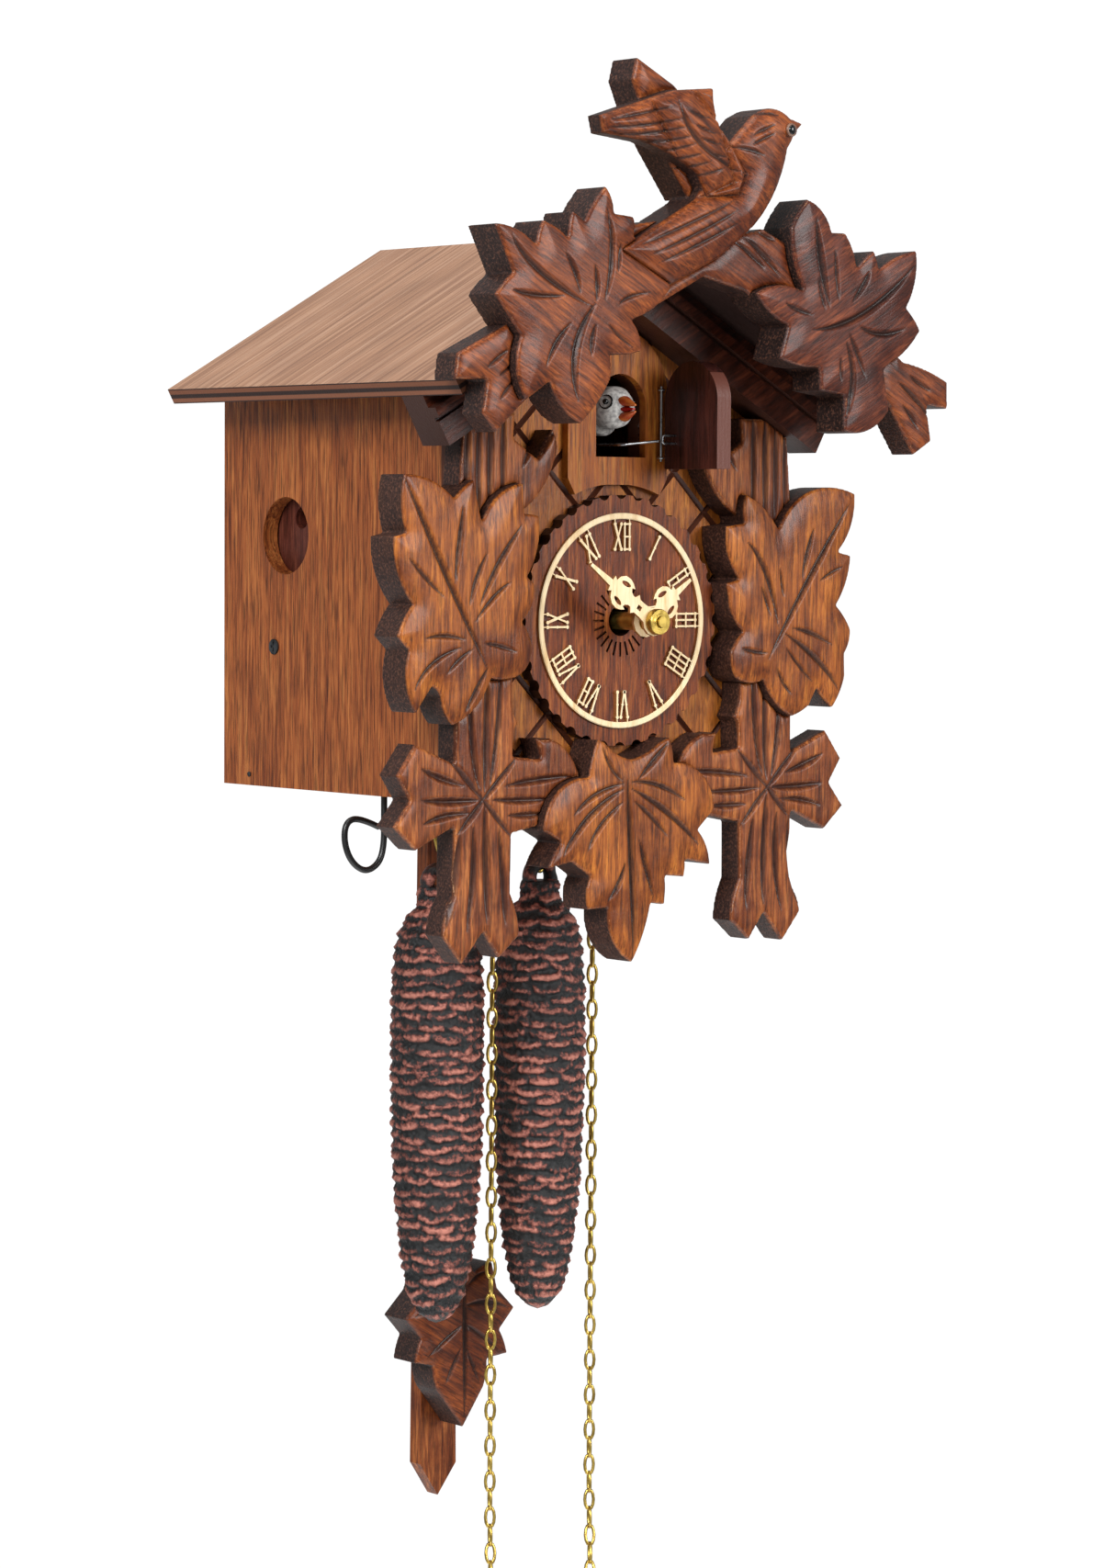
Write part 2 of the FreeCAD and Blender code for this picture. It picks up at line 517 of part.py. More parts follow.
# ---- movement -----------------------------------------------------------
def make_movement():
    plate_x0, plate_x1 = -38.0, 44.0
    plate_z0, plate_z1 = -118.0, -44.0
    holes = ((DIAL_X, DIAL_Z, 1.55), (LEFT_WHEEL_X, CHAIN_WHEEL_Z, 1.55),
             (RIGHT_WHEEL_X, CHAIN_WHEEL_Z, 1.55), (THIRD_X, THIRD_Z, 1.05),
             (0.0, ESCAPE_Z, 1.05), (0.0, PIVOT_Z, 1.05), (HAMMER_X, HAMMER_Z, 1.05))
    for name, y0, y1 in (("movement_front_plate", -91.0, -89.5),
                         ("movement_back_plate", -51.5, -50.0)):
        plate = box(plate_x0, plate_x1, y0, y1, plate_z0, plate_z1)
        for x, z, r in holes:
            plate = plate.cut(rod(x, z, r, y0 - 1, y1 + 1))
        keep(name, plate)
    corners = [(x, z) for x in (plate_x0 + 4, plate_x1 - 4) for z in (plate_z0 + 4, plate_z1 - 4)]
    blocks = [box(x0, x1, -102.5, -91.0, plate_z0 + 20, plate_z0 + 30)
              for x0, x1 in ((plate_x0, plate_x0 + 8), (plate_x1 - 8, plate_x1))]
    pillars = [rod(x, z, 2.0, -89.5, -51.5) for x, z in corners]
    keep("movement_pillars", *(pillars + blocks))

    for name, x in (("going_chain_wheel", LEFT_WHEEL_X), ("strike_chain_wheel", RIGHT_WHEEL_X)):
        arbor = rod(x, CHAIN_WHEEL_Z, 1.5, -91.5, -49.5)
        hub = rod(x, CHAIN_WHEEL_Z, CHAIN_PITCH_R - 2.0, CHAIN_Y - 2.5, CHAIN_Y + 2.5)
        rims = [rod(x, CHAIN_WHEEL_Z, CHAIN_PITCH_R + 0.2, CHAIN_Y + y - 0.6, CHAIN_Y + y + 0.6)
                for y in (-3.1, 3.1)]
        great = gear(x, CHAIN_WHEEL_Z, 40, 11.0, -73.6, -72.0, 1.4)
        keep(name, arbor.multiFuse([hub, great] + rims).removeSplitter())
    keep("third_wheel", rod(THIRD_X, THIRD_Z, 1.0, -91.4, -49.6).fuse(
        gear(THIRD_X, THIRD_Z, 42, 9.0, -79.6, -78.2, 0.9)).removeSplitter())
    keep("escape_wheel", rod(0.0, ESCAPE_Z, 1.0, -91.4, -49.6).fuse(
        gear(0.0, ESCAPE_Z, 15, 7.0, -57.0, -55.6, 0.9)).removeSplitter())


def make_pendulum():
    """Anchor, hanger and the carved bob, which all swing together."""
    arbor = rod(0.0, PIVOT_Z, 1.0, -91.4, ROD_Y + 4.0)
    pallets = prism([(-7.0, -66.5), (-6.0, -60.5, -0.12), (0.0, -56.6, -0.12), (6.0, -60.5),
                     (7.0, -66.5), (4.8, -61.5, 0.1), (-4.8, -61.5)], -60.6, -59.2)
    hanger = box(-1.4, 1.4, ROD_Y - 1.0, ROD_Y + 1.0, -66.0, PIVOT_Z)
    keep("anchor", arbor.multiFuse([pallets, hanger]).removeSplitter())
    stick = prism([(-4.0, -66.0), (4.0, -66.0), (6.6, -336.0), (-0.2, -345.0), (-6.8, -335.0)],
                  ROD_Y - 2.5, ROD_Y + 2.5)
    keep("pendulum_rod", stick)
    leaf = [(0.0, -268.0, 0.0), (5.0, -277.5, 0.06), (11.5, -275.0, 0.0), (13.5, -283.0, 0.0),
            (20.0, -289.5, 0.0), (14.4, -295.5, 0.05), (17.4, -303.0, 0.0), (9.8, -303.6, 0.06),
            (8.4, -312.0, 0.0), (0.8, -323.0, 0.0), (-8.6, -311.0, 0.06), (-10.4, -303.4, 0.0),
            (-17.0, -302.0, 0.05), (-14.8, -295.0, 0.0), (-20.6, -288.6, 0.0), (-13.6, -282.0, 0.0),
            (-11.0, -274.5, 0.06), (-5.0, -277.5, 0.0)]
    keep("pendulum_leaf", prism(leaf, -42.5, ROD_Y - 2.5))


def make_music():
    """Coiled gong, hammer, and the two whistles with their bellows."""
    coil = tube([V(-18, -10, -107.9), V(-18, -10, -92), V(14, -10, -92), V(14, -10, -118),
                 V(-30, -10, -118), V(-30, -10, -86)], 0.9, 4.0)
    keep("gong", coil, box(-22, -14, -15.0, -4.0, -116.5, -107.9))
    arm_y = -13.4
    arm = box(HAMMER_X - 1.0, HAMMER_X + 1.0, arm_y - 1.0, arm_y + 1.0, -101.0, HAMMER_Z)
    head = bar(HAMMER_X - 9.0, HAMMER_X - 0.5, arm_y, -100.0, 2.8)
    pin = rod(HAMMER_X, HAMMER_Z, 1.0, -91.4, arm_y + 1.0)
    keep("hammer", arm.multiFuse([head, pin]).removeSplitter())
    boxes = []
    for side, name in ((-1, "left"), (1, "right")):
        x0, x1 = sorted((side * 50.6, side * 46.0))
        lid_x0, lid_x1 = sorted((side * 50.6, side * 34.0))
        pipe = box(x0, x1, BELLOWS_Y - 32.0, BELLOWS_Y, -110.0, BELLOWS_Z - 2.5)
        boxes.append(pipe.cut(bar(x0 - 1, x1 + 1, SOUND_HOLE_Y, -56.0, 3.0)))
        boxes.append(box(lid_x0, lid_x1, BELLOWS_Y - 32.0, BELLOWS_Y, BELLOWS_Z - 2.5, BELLOWS_Z))
        keep("bellows_lid_" + name, box(lid_x0, lid_x1, BELLOWS_Y - 32.0, BELLOWS_Y,
                                        BELLOWS_Z + 0.4, BELLOWS_Z + 2.6))
    keep("whistles", *boxes)


def make_fixings():
    """Screw and nail heads on the side walls, and screws in the back."""
    heads = []
    for side in (-1, 1):
        for y, z, radius in ((-25.0, -92.7, 2.3), (-12.9, -129.8, 0.7)):
            x0, x1 = sorted((side * CASE_X, side * (CASE_X + 0.5)))
            heads.append(bar(x0, x1, y, z, radius))
        for z in BACK_SCREW_ZS:
            heads.append(rod(side * BACK_SCREW_X, z, 2.3, -BACK_SCREW_DEPTH, -0.1))
    keep("case_screws", *heads)


def make_weights():
    """Two cone weights on their chains, and the free ends with their rings."""
    cone = [(0.0, -153.0), (4.2, -153.0), (6.2, -158.0), (6.6, -163.0), (10.2, -169.0), (13.4, -179.0),
            (14.4, -198.0), (14.3, -222.0), (13.4, -246.0), (11.4, -266.0), (8.2, -280.0),
            (4.6, -285.0), (0.0, -286.2)]
    for name, x in (("left", LEFT_WHEEL_X - CHAIN_PITCH_R), ("right", RIGHT_WHEEL_X - CHAIN_PITCH_R)):
        hook = tube([V(x, CHAIN_Y, -153.0), V(x, CHAIN_Y, -146.5), V(x + 4.5, CHAIN_Y, -146.5),
                     V(x + 4.5, CHAIN_Y, -140.5), V(x, CHAIN_Y, -140.5)], 0.7, 1.6)
        keep("weight_" + name, revolved(cone, x, CHAIN_Y), hook)
        keep("weight_chain_" + name, post(x, CHAIN_Y, CHAIN_D / 2, -139.6, -92.0))
    for name, x in (("left", LEFT_WHEEL_X + CHAIN_PITCH_R), ("right", RIGHT_WHEEL_X + CHAIN_PITCH_R)):
        keep("free_chain_" + name, post(x, CHAIN_Y, CHAIN_D / 2, HANK_TOP_Z, FREE_CHAIN_TOP_Z))
        half_run = (HANK_TOP_Z - HANK_BOTTOM_Z) / 2.0 - HANK_HALF_X
        mid_z = (HANK_TOP_Z + HANK_BOTTOM_Z) / 2.0
        hank = prism([(x - HANK_HALF_X, mid_z - half_run), (x - HANK_HALF_X, mid_z + half_run, 0.5),
                      (x + HANK_HALF_X, mid_z + half_run), (x + HANK_HALF_X, mid_z - half_run, 0.5)],
                     CHAIN_Y - HANK_HALF_Y, CHAIN_Y + HANK_HALF_Y)
        keep("chain_hank_" + name, hank)
        keep("chain_ring_" + name, Part.makeTorus(5.0, 0.7, V(x, CHAIN_Y, HANK_BOTTOM_Z - 5.8),
                                                  V(0, 1, 0)))


def make_wire():
    """Bent wire that stops the strike, up through the floor."""
    wire = tube([V(WIRE_X, WIRE_Y, -60.0), V(WIRE_X, WIRE_Y, -149.0), V(WIRE_X - 3.4, WIRE_Y, -153.4),
                 V(WIRE_X - 8.6, WIRE_Y, -152.6), V(WIRE_X - 13.0, WIRE_Y, -146.6),
                 V(WIRE_X - 12.4, WIRE_Y, -141.4), V(WIRE_X - 8.0, WIRE_Y, -140.2),
                 V(WIRE_X - 2.6, WIRE_Y, -142.4)], 0.9, 2.4)
    keep("silencer_wire", wire)


make_case()
make_carving()
make_dial()
make_hands()
make_cuckoo()
make_movement()
make_pendulum()
make_music()
make_fixings()
make_weights()
make_wire()

os.makedirs("parts", exist_ok=True)
for node_name, node_shape in nodes.items():
    if not node_shape.isValid() or not node_shape.Solids:
        raise ValueError("bad solid in " + node_name)
    node_shape.exportStep("parts/" + node_name + ".step")
print(len(nodes), "nodes")
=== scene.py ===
"""Visual model of a carved cuckoo clock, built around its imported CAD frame."""
import math

import bpy
import numpy as np
from mathutils import Matrix, Vector, noise
from mathutils.kdtree import KDTree


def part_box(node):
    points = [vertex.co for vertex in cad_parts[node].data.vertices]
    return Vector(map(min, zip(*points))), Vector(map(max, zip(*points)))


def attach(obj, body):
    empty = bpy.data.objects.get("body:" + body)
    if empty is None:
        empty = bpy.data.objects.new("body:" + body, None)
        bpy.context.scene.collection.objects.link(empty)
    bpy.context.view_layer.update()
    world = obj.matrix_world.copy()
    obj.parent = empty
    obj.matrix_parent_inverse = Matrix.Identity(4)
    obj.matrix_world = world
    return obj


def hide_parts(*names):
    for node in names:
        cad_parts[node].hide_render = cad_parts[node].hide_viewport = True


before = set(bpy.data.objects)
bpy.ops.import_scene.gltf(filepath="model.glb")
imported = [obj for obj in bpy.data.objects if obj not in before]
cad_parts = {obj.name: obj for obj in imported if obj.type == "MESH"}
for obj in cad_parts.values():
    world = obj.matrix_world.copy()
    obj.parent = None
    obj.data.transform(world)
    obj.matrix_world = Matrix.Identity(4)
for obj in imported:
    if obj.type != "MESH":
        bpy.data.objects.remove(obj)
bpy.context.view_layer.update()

bl_info = {
    "name": "Cuckoo clock",
    "version": (1, 0, 0),
    "blender": (4, 5, 0),
    "location": "View3D > Sidebar > Clock",
    "description": "Builds the carved case, dial, cuckoo, weights and chains of a cuckoo clock",
    "category": "Object",
}

MM = 0.001
ROOF_PITCH = math.radians(29.5)
DIAL = Vector((0.0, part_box("chapter_ring")[0].y, -0.084))
LINK_PITCH = 5.2 * MM
LINK_WIRE = 0.5 * MM          # half the wire's thickness


# ---- sizes and colours a user may change ---------------------------------
class ClockSizes(bpy.types.PropertyGroup):
    voxel: bpy.props.FloatProperty(
        name="Carving detail", description="Edge length of the carved pieces' mesh", unit="LENGTH",
        default=0.4 * MM, min=0.2 * MM, max=2.0 * MM)
    edge_round: bpy.props.FloatProperty(
        name="Edge rounding", description="Radius that a carved outline is eased to", unit="LENGTH",
        default=0.55 * MM)
    dome: bpy.props.FloatProperty(
        name="Leaf dome", description="How far a leaf's face falls towards its outline", unit="LENGTH",
        default=1.0 * MM)
    hank_turns: bpy.props.IntProperty(
        name="Hank turns", description="Whole turns of chain in each put-away hank", default=7, min=1)
    cone_ridge: bpy.props.FloatProperty(
        name="Cone scale height", description="How far the scales of a pine cone stand out",
        unit="LENGTH", default=1.3 * MM)


def colour(label, value, about):
    """A colour that a user would change."""
    return bpy.props.StringProperty(name=label, default=value, description=about)


class ClockColours(bpy.types.PropertyGroup):
    veneer: colour("Side veneer", "#955026", "Ground colour of the case sides")
    roof: colour("Roof veneer", "#A27A60", "Ground colour of the roof's top")
    front: colour("Front veneer", "#A35C1E", "Ground colour of the front panel")
    carved: colour("Carved wood", "#934E1A", "Ground colour of the posts and leaves")
    crown: colour("Crown wood", "#7A3A16", "Ground colour of the crown carving")
    cream: colour("Pale wood", "#F0D9AE", "Dial ring, numerals and hands")
    brass: colour("Brass", "#D9BB62", "Chains, hooks and the hand nut")
    copper: colour("Cone paint", "#BE7C6C", "Paint wiped over the weights' scales")


# ---- small helpers -------------------------------------------------------
def linear(code, strength=1.0):
    """An sRGB hex colour as linear RGBA."""
    values = [int(code[i:i + 2], 16) / 255 for i in (1, 3, 5)]
    spread = [v / 12.92 if v <= 0.04045 else ((v + 0.055) / 1.055) ** 2.4 for v in values]
    return tuple(v * strength for v in spread) + (1.0,)


def select_only(*objects):
    if bpy.context.mode != "OBJECT":
        bpy.ops.object.mode_set(mode="OBJECT")
    bpy.ops.object.select_all(action="DESELECT")
    for item in objects:
        item.select_set(True)
    bpy.context.view_layer.objects.active = objects[0]


def settle(item):
    """Move the object's place, turn and scale into its mesh."""
    select_only(item)
    bpy.ops.object.transform_apply(location=True, rotation=True, scale=True)
    return item


def join(items, name):
    select_only(*items)
    if len(items) > 1:
        bpy.ops.object.join()
    made = bpy.context.view_layer.objects.active
    made.name = name
    made.data.name = name
    return settle(made)


def smooth(item, angle=35.0):
    select_only(item)
    bpy.ops.object.shade_smooth_by_angle(angle=math.radians(angle))
    return item


def face_outwards(item):
    select_only(item)
    bpy.ops.object.mode_set(mode="EDIT")
    bpy.ops.mesh.select_all(action="SELECT")
    bpy.ops.mesh.normals_make_consistent(inside=False)
    bpy.ops.object.mode_set(mode="OBJECT")
    return item


def apply_modifier(item, kind, **settings):
    select_only(item)
    added = item.modifiers.new(kind.title(), kind)
    for key, value in settings.items():
        setattr(added, key, value)
    bpy.ops.object.modifier_apply(modifier=added.name)
    return item


def new_mesh(name, points, faces):
    mesh = bpy.data.meshes.new(name)
    mesh.from_pydata(points, [], faces)
    item = bpy.data.objects.new(name, mesh)
    bpy.context.scene.collection.objects.link(item)
    return item


def copied(node, name):
    """A copy of a CAD node's mesh, with its loose triangles merged."""
    item = bpy.data.objects.new(name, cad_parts[node].data.copy())
    item.data.materials.clear()
    bpy.context.scene.collection.objects.link(item)
    select_only(item)
    bpy.ops.object.mode_set(mode="EDIT")
    bpy.ops.mesh.select_all(action="SELECT")
    bpy.ops.mesh.remove_doubles(threshold=0.001 * MM)
    bpy.ops.object.mode_set(mode="OBJECT")
    return item


def finish_piece(item, body, slot, material, *nodes):
    """Dress a piece, hang it on its body and hide the CAD nodes it stands for."""
    item.data.materials.clear()
    item.data.materials.append(material)
    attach(item, body)
    if nodes:
        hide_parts(*nodes)
    return item


def dress(node, material):
    """Give a CAD node that keeps its shape a better material."""
    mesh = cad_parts[node].data
    if not mesh.materials:
        mesh.materials.append(material)
    for i in range(len(mesh.materials)):
        mesh.materials[i] = material


# ---- materials -----------------------------------------------------------
def add(material, kind, links=None, **settings):
    """Add a node, set it up and fill or link its inputs."""
    node = material.node_tree.nodes.new(kind)
    for key, value in settings.items():
        setattr(node, key, value)
    for socket, value in (links or {}).items():
        if isinstance(value, bpy.types.NodeSocket):
            material.node_tree.links.new(value, node.inputs[socket])
        else:
            node.inputs[socket].default_value = value
    return node


def ramp(material, factor, stops):
    node = add(material, "ShaderNodeValToRGB", {"Fac": factor})
    while len(node.color_ramp.elements) < len(stops):
        node.color_ramp.elements.new(0.5)
    for element, (place, tint) in zip(node.color_ramp.elements, stops):
        element.position = place
        element.color = tint
    return node.outputs["Color"]


def blank(name):
    material = bpy.data.materials.new(name)
    material.use_nodes = True
    return material, material.node_tree.nodes["Principled BSDF"]


def mixed(material, factor, first, second, blend="MIX"):
    node = add(material, "ShaderNodeMix", {0: factor, 6: first, 7: second},
               data_type="RGBA", blend_type=blend)
    return node.outputs[2]


# cut and side are near-black tints: painted shade in the gouges and on the sawn sides.
def stained_wood(name, dark, ground, light, grain=(620.0, 620.0, 46.0), turn=0.0, cut="#1C0F0B",
                 side="#2E1D1A", pores=0.45, blotch=0.5, rough=0.4, coat=0.12, highlight_tint="#B07A4C"):
    """Lacquered hardwood under a brown stain: fine figure along the grain, clouds of darker
    stain, short dark pores, near-black painted shade in every cut and on the sawn edges (the
    edges with paler specks by grit), and pale painted highlights, speckled by grit, along
    the carved outlines and the lips of the cuts."""
    material, shader = blank(name)
    place = add(material, "ShaderNodeTexCoord").outputs["Object"]
    laid = add(material, "ShaderNodeMapping", {"Vector": place, "Rotation": (0, turn, 0)}).outputs[0]
    fibre = add(material, "ShaderNodeMapping", {"Vector": laid, "Scale": grain}).outputs[0]
    figure = add(material, "ShaderNodeTexNoise",
                 {"Vector": fibre, "Scale": 1.0, "Detail": 8.0, "Roughness": 0.68, "Distortion": 0.5})
    body = ramp(material, figure.outputs["Fac"],
                [(0.33, linear(dark)), (0.50, linear(ground)), (0.66, linear(light))])
    cloud = add(material, "ShaderNodeTexNoise",
                {"Vector": laid, "Scale": 60.0, "Detail": 4.0, "Roughness": 0.6})
    shade = ramp(material, cloud.outputs["Fac"],
                 [(0.38, (1 - blotch * 0.85, 1 - blotch, 1 - blotch) + (1,)),
                  (0.58, (1.0, 1.0, 1.0, 1.0))])
    body = mixed(material, 1.0, body, shade, "MULTIPLY")
    fine = add(material, "ShaderNodeMapping",
               {"Vector": laid, "Scale": tuple(v * 3.4 for v in grain)}).outputs[0]
    pore = add(material, "ShaderNodeTexNoise", {"Vector": fine, "Scale": 1.0, "Detail": 3.0})
    dots = ramp(material, pore.outputs["Fac"], [(0.38, (1 - pores,) * 3 + (1,)), (0.5, (1, 1, 1, 1))])
    body = mixed(material, 1.0, body, dots, "MULTIPLY")
    grit = add(material, "ShaderNodeTexNoise",
               {"Vector": place, "Scale": 1400.0, "Detail": 3.0, "Roughness": 0.7}).outputs["Fac"]
    # Painted shade: the gouges, marked by the carving, are tinted near-black.
    carved = add(material, "ShaderNodeAttribute", attribute_name="carved").outputs["Fac"]
    body = mixed(material, carved, body, linear(cut))
    # Painted shade: the sawn sides are tinted near-black with paler specks.
    sawn = add(material, "ShaderNodeAttribute", attribute_name="sawn").outputs["Fac"]
    edge = ramp(material, grit, [(0.36, linear("#120C0B")), (0.52, linear(side)), (0.74, linear("#6B4636"))])
    body = mixed(material, sawn, body, edge)
    # Painted highlights: the pale tint laid in grit-speckled bands along the carved outlines and the lips of
    # the gouges.
    painted_highlight = add(material, "ShaderNodeAttribute", attribute_name="painted_highlight").outputs["Fac"]
    painted_highlight = add(material, "ShaderNodeMath", {0: grit, 1: painted_highlight}, operation="MULTIPLY").outputs[0]
    painted_highlight = add(material, "ShaderNodeMapRange", {"Value": painted_highlight, "From Min": 0.34, "From Max": 0.6}).outputs[0]
    body = mixed(material, painted_highlight, body, linear(highlight_tint))
    material.node_tree.links.new(body, shader.inputs["Base Color"])
    dull = add(material, "ShaderNodeMath", {0: sawn, 1: 0.22, 2: cloud.outputs["Fac"]},
               operation="MULTIPLY_ADD").outputs[0]
    gloss = add(material, "ShaderNodeMapRange",
                {"Value": dull, "From Min": 0.3, "From Max": 0.8, "To Min": rough - 0.06,
                 "To Max": rough + 0.2})
    material.node_tree.links.new(gloss.outputs[0], shader.inputs["Roughness"])
    low = add(material, "ShaderNodeMath", {0: sawn, 1: 0.75, 2: 0.35}, operation="MULTIPLY_ADD").outputs[0]
    rise = add(material, "ShaderNodeMath", {0: grit, 1: low}, operation="MULTIPLY").outputs[0]
    rise = add(material, "ShaderNodeMath", {0: pore.outputs["Fac"], 1: 0.5, 2: rise},
               operation="MULTIPLY_ADD").outputs[0]
    bump = add(material, "ShaderNodeBump", {"Height": rise, "Strength": 0.55, "Distance": 0.35 * MM})
    material.node_tree.links.new(bump.outputs[0], shader.inputs["Normal"])
    shader.inputs["Coat Weight"].default_value = coat
    shader.inputs["Coat Roughness"].default_value = 0.2
    shader.inputs["IOR"].default_value = 1.45
    shader.inputs["Specular IOR Level"].default_value = 0.32
    return material, shader, body


def by_facing(stained, axis, low, high, tint):
    """Tint the faces of a CAD node whose normal, along one axis, lies between low and high."""
    material, shader, body = stained
    normal = add(material, "ShaderNodeTexCoord").outputs["Normal"]
    part = add(material, "ShaderNodeSeparateXYZ", {0: normal}).outputs[axis]
    above = add(material, "ShaderNodeMath", {0: part, 1: low}, operation="GREATER_THAN").outputs[0]
    below = add(material, "ShaderNodeMath", {0: part, 1: high}, operation="LESS_THAN").outputs[0]
    mask = add(material, "ShaderNodeMath", {0: above, 1: below}, operation="MULTIPLY").outputs[0]
    body = mixed(material, mask, body, linear(tint))
    material.node_tree.links.new(body, shader.inputs["Base Color"])
    return material


def roof_board():
    """Thin plywood with a pale face veneer; its three plies show on the sawn edges."""
    tints = bpy.context.scene.clock_colours
    stained = stained_wood("roof_plywood", "#83604C", tints.roof, "#B8937A", grain=(9.0, 420.0, 9.0),
                           pores=0.22, blotch=0.08, rough=0.55, coat=0.1)
    material, shader, body = stained
    coords = add(material, "ShaderNodeTexCoord")
    split = add(material, "ShaderNodeSeparateXYZ", {0: coords.outputs["Object"]})
    facing = add(material, "ShaderNodeSeparateXYZ", {0: coords.outputs["Normal"]})
    away = add(material, "ShaderNodeMath", {0: split.outputs[0]}, operation="ABSOLUTE").outputs[0]
    across = add(material, "ShaderNodeMath", {0: away, 1: math.sin(ROOF_PITCH)},
                 operation="MULTIPLY").outputs[0]
    depth = add(material, "ShaderNodeMath", {0: split.outputs[2], 1: math.cos(ROOF_PITCH), 2: across},
                operation="MULTIPLY_ADD").outputs[0]
    ridge = 23.7 * MM * math.cos(ROOF_PITCH)
    down = add(material, "ShaderNodeMath", {0: ridge, 1: depth}, operation="SUBTRACT").outputs[0]
    ply = add(material, "ShaderNodeMapRange", {"Value": down, "From Max": 4.6 * MM}).outputs[0]
    plies = ramp(material, ply, [(0.06, linear("#2C1A16")), (0.10, linear("#70442F")),
                                 (0.34, linear("#70442F")), (0.40, linear("#291915")),
                                 (0.62, linear("#291915")), (0.68, linear("#7A4C36")),
                                 (0.90, linear("#7A4C36")), (0.95, linear("#2C1A16"))])
    top = add(material, "ShaderNodeMath", {0: facing.outputs[2], 1: 0.5}, operation="GREATER_THAN")
    body = mixed(material, top.outputs[0], plies, body)
    material.node_tree.links.new(body, shader.inputs["Base Color"])
    return material


def metal(name, tint, rough, darker):
    """Drawn or turned metal: a slight smear in its polish and darker low spots."""
    material, shader = blank(name)
    place = add(material, "ShaderNodeTexCoord").outputs["Object"]
    cloud = add(material, "ShaderNodeTexNoise", {"Vector": place, "Scale": 420.0, "Detail": 3.0})
    body = ramp(material, cloud.outputs["Fac"], [(0.35, linear(darker)), (0.6, linear(tint))])
    material.node_tree.links.new(body, shader.inputs["Base Color"])
    gloss = add(material, "ShaderNodeMapRange",
                {"Value": cloud.outputs["Fac"], "To Min": rough * 0.7, "To Max": rough * 1.4})
    material.node_tree.links.new(gloss.outputs[0], shader.inputs["Roughness"])
    shader.inputs["Metallic"].default_value = 1.0
    return material


def paint(name, tint, second, rough=0.35, scale=300.0):
    """Brushed-on paint: soft changes of tone and a faint brush texture."""
    material, shader = blank(name)
    place = add(material, "ShaderNodeTexCoord").outputs["Object"]
    cloud = add(material, "ShaderNodeTexNoise", {"Vector": place, "Scale": scale, "Detail": 4.0})
    body = ramp(material, cloud.outputs["Fac"], [(0.35, linear(second)), (0.6, linear(tint))])
    material.node_tree.links.new(body, shader.inputs["Base Color"])
    bump = add(material, "ShaderNodeBump",
               {"Height": cloud.outputs["Fac"], "Strength": 0.2, "Distance": 0.2 * MM})
    material.node_tree.links.new(bump.outputs[0], shader.inputs["Normal"])
    shader.inputs["Roughness"].default_value = rough
    return material


def cone_paint():
    """Sand-cast iron sprayed black, with copper bronze wiped over the high scales, broken by grit
    on their flanks, black between. The tone grades with scale height from bright crests through
    darker flanks into the black: partly the wiped paint, partly painted highlight and shade."""
    tints = bpy.context.scene.clock_colours
    material, shader = blank("cone_copper_over_black")
    place = add(material, "ShaderNodeTexCoord").outputs["Object"]
    high = add(material, "ShaderNodeAttribute", attribute_name="ridge").outputs["Fac"]
    grit = add(material, "ShaderNodeTexNoise", {"Vector": place, "Scale": 760.0, "Detail": 5.0,
                                                "Roughness": 0.75}).outputs["Fac"]
    patch = add(material, "ShaderNodeTexNoise",
                {"Vector": place, "Scale": 190.0, "Detail": 2.0}).outputs["Fac"]
    broken = add(material, "ShaderNodeMath", {0: grit, 1: 1.5, 2: high},
                 operation="MULTIPLY_ADD").outputs[0]
    broken = add(material, "ShaderNodeMath", {0: patch, 1: 0.7, 2: broken},
                 operation="MULTIPLY_ADD").outputs[0]
    # Tone by scale height: the wiped copper, with painted highlight on the crests and painted shade down the
    # flanks.
    body = ramp(material, add(material, "ShaderNodeMapRange",
                              {"Value": broken, "From Min": 1.2, "From Max": 2.3}).outputs[0],
                [(0.20, linear("#07090B")), (0.32, linear("#1E1413")), (0.44, linear("#6B3A32")),
                 (0.80, linear(tints.copper))])
    wiped = add(material, "ShaderNodeMapRange",
                {"Value": broken, "From Min": 1.5, "From Max": 1.8}).outputs[0]
    material.node_tree.links.new(body, shader.inputs["Base Color"])
    shine = add(material, "ShaderNodeMath", {0: wiped, 1: 0.5}, operation="MULTIPLY").outputs[0]
    material.node_tree.links.new(shine, shader.inputs["Metallic"])
    gloss = add(material, "ShaderNodeMapRange", {"Value": grit, "To Min": 0.25, "To Max": 0.55})
    material.node_tree.links.new(gloss.outputs[0], shader.inputs["Roughness"])
    bump = add(material, "ShaderNodeBump", {"Height": grit, "Strength": 0.8, "Distance": 0.6 * MM})
    material.node_tree.links.new(bump.outputs[0], shader.inputs["Normal"])
    return material


FINISHES = {}


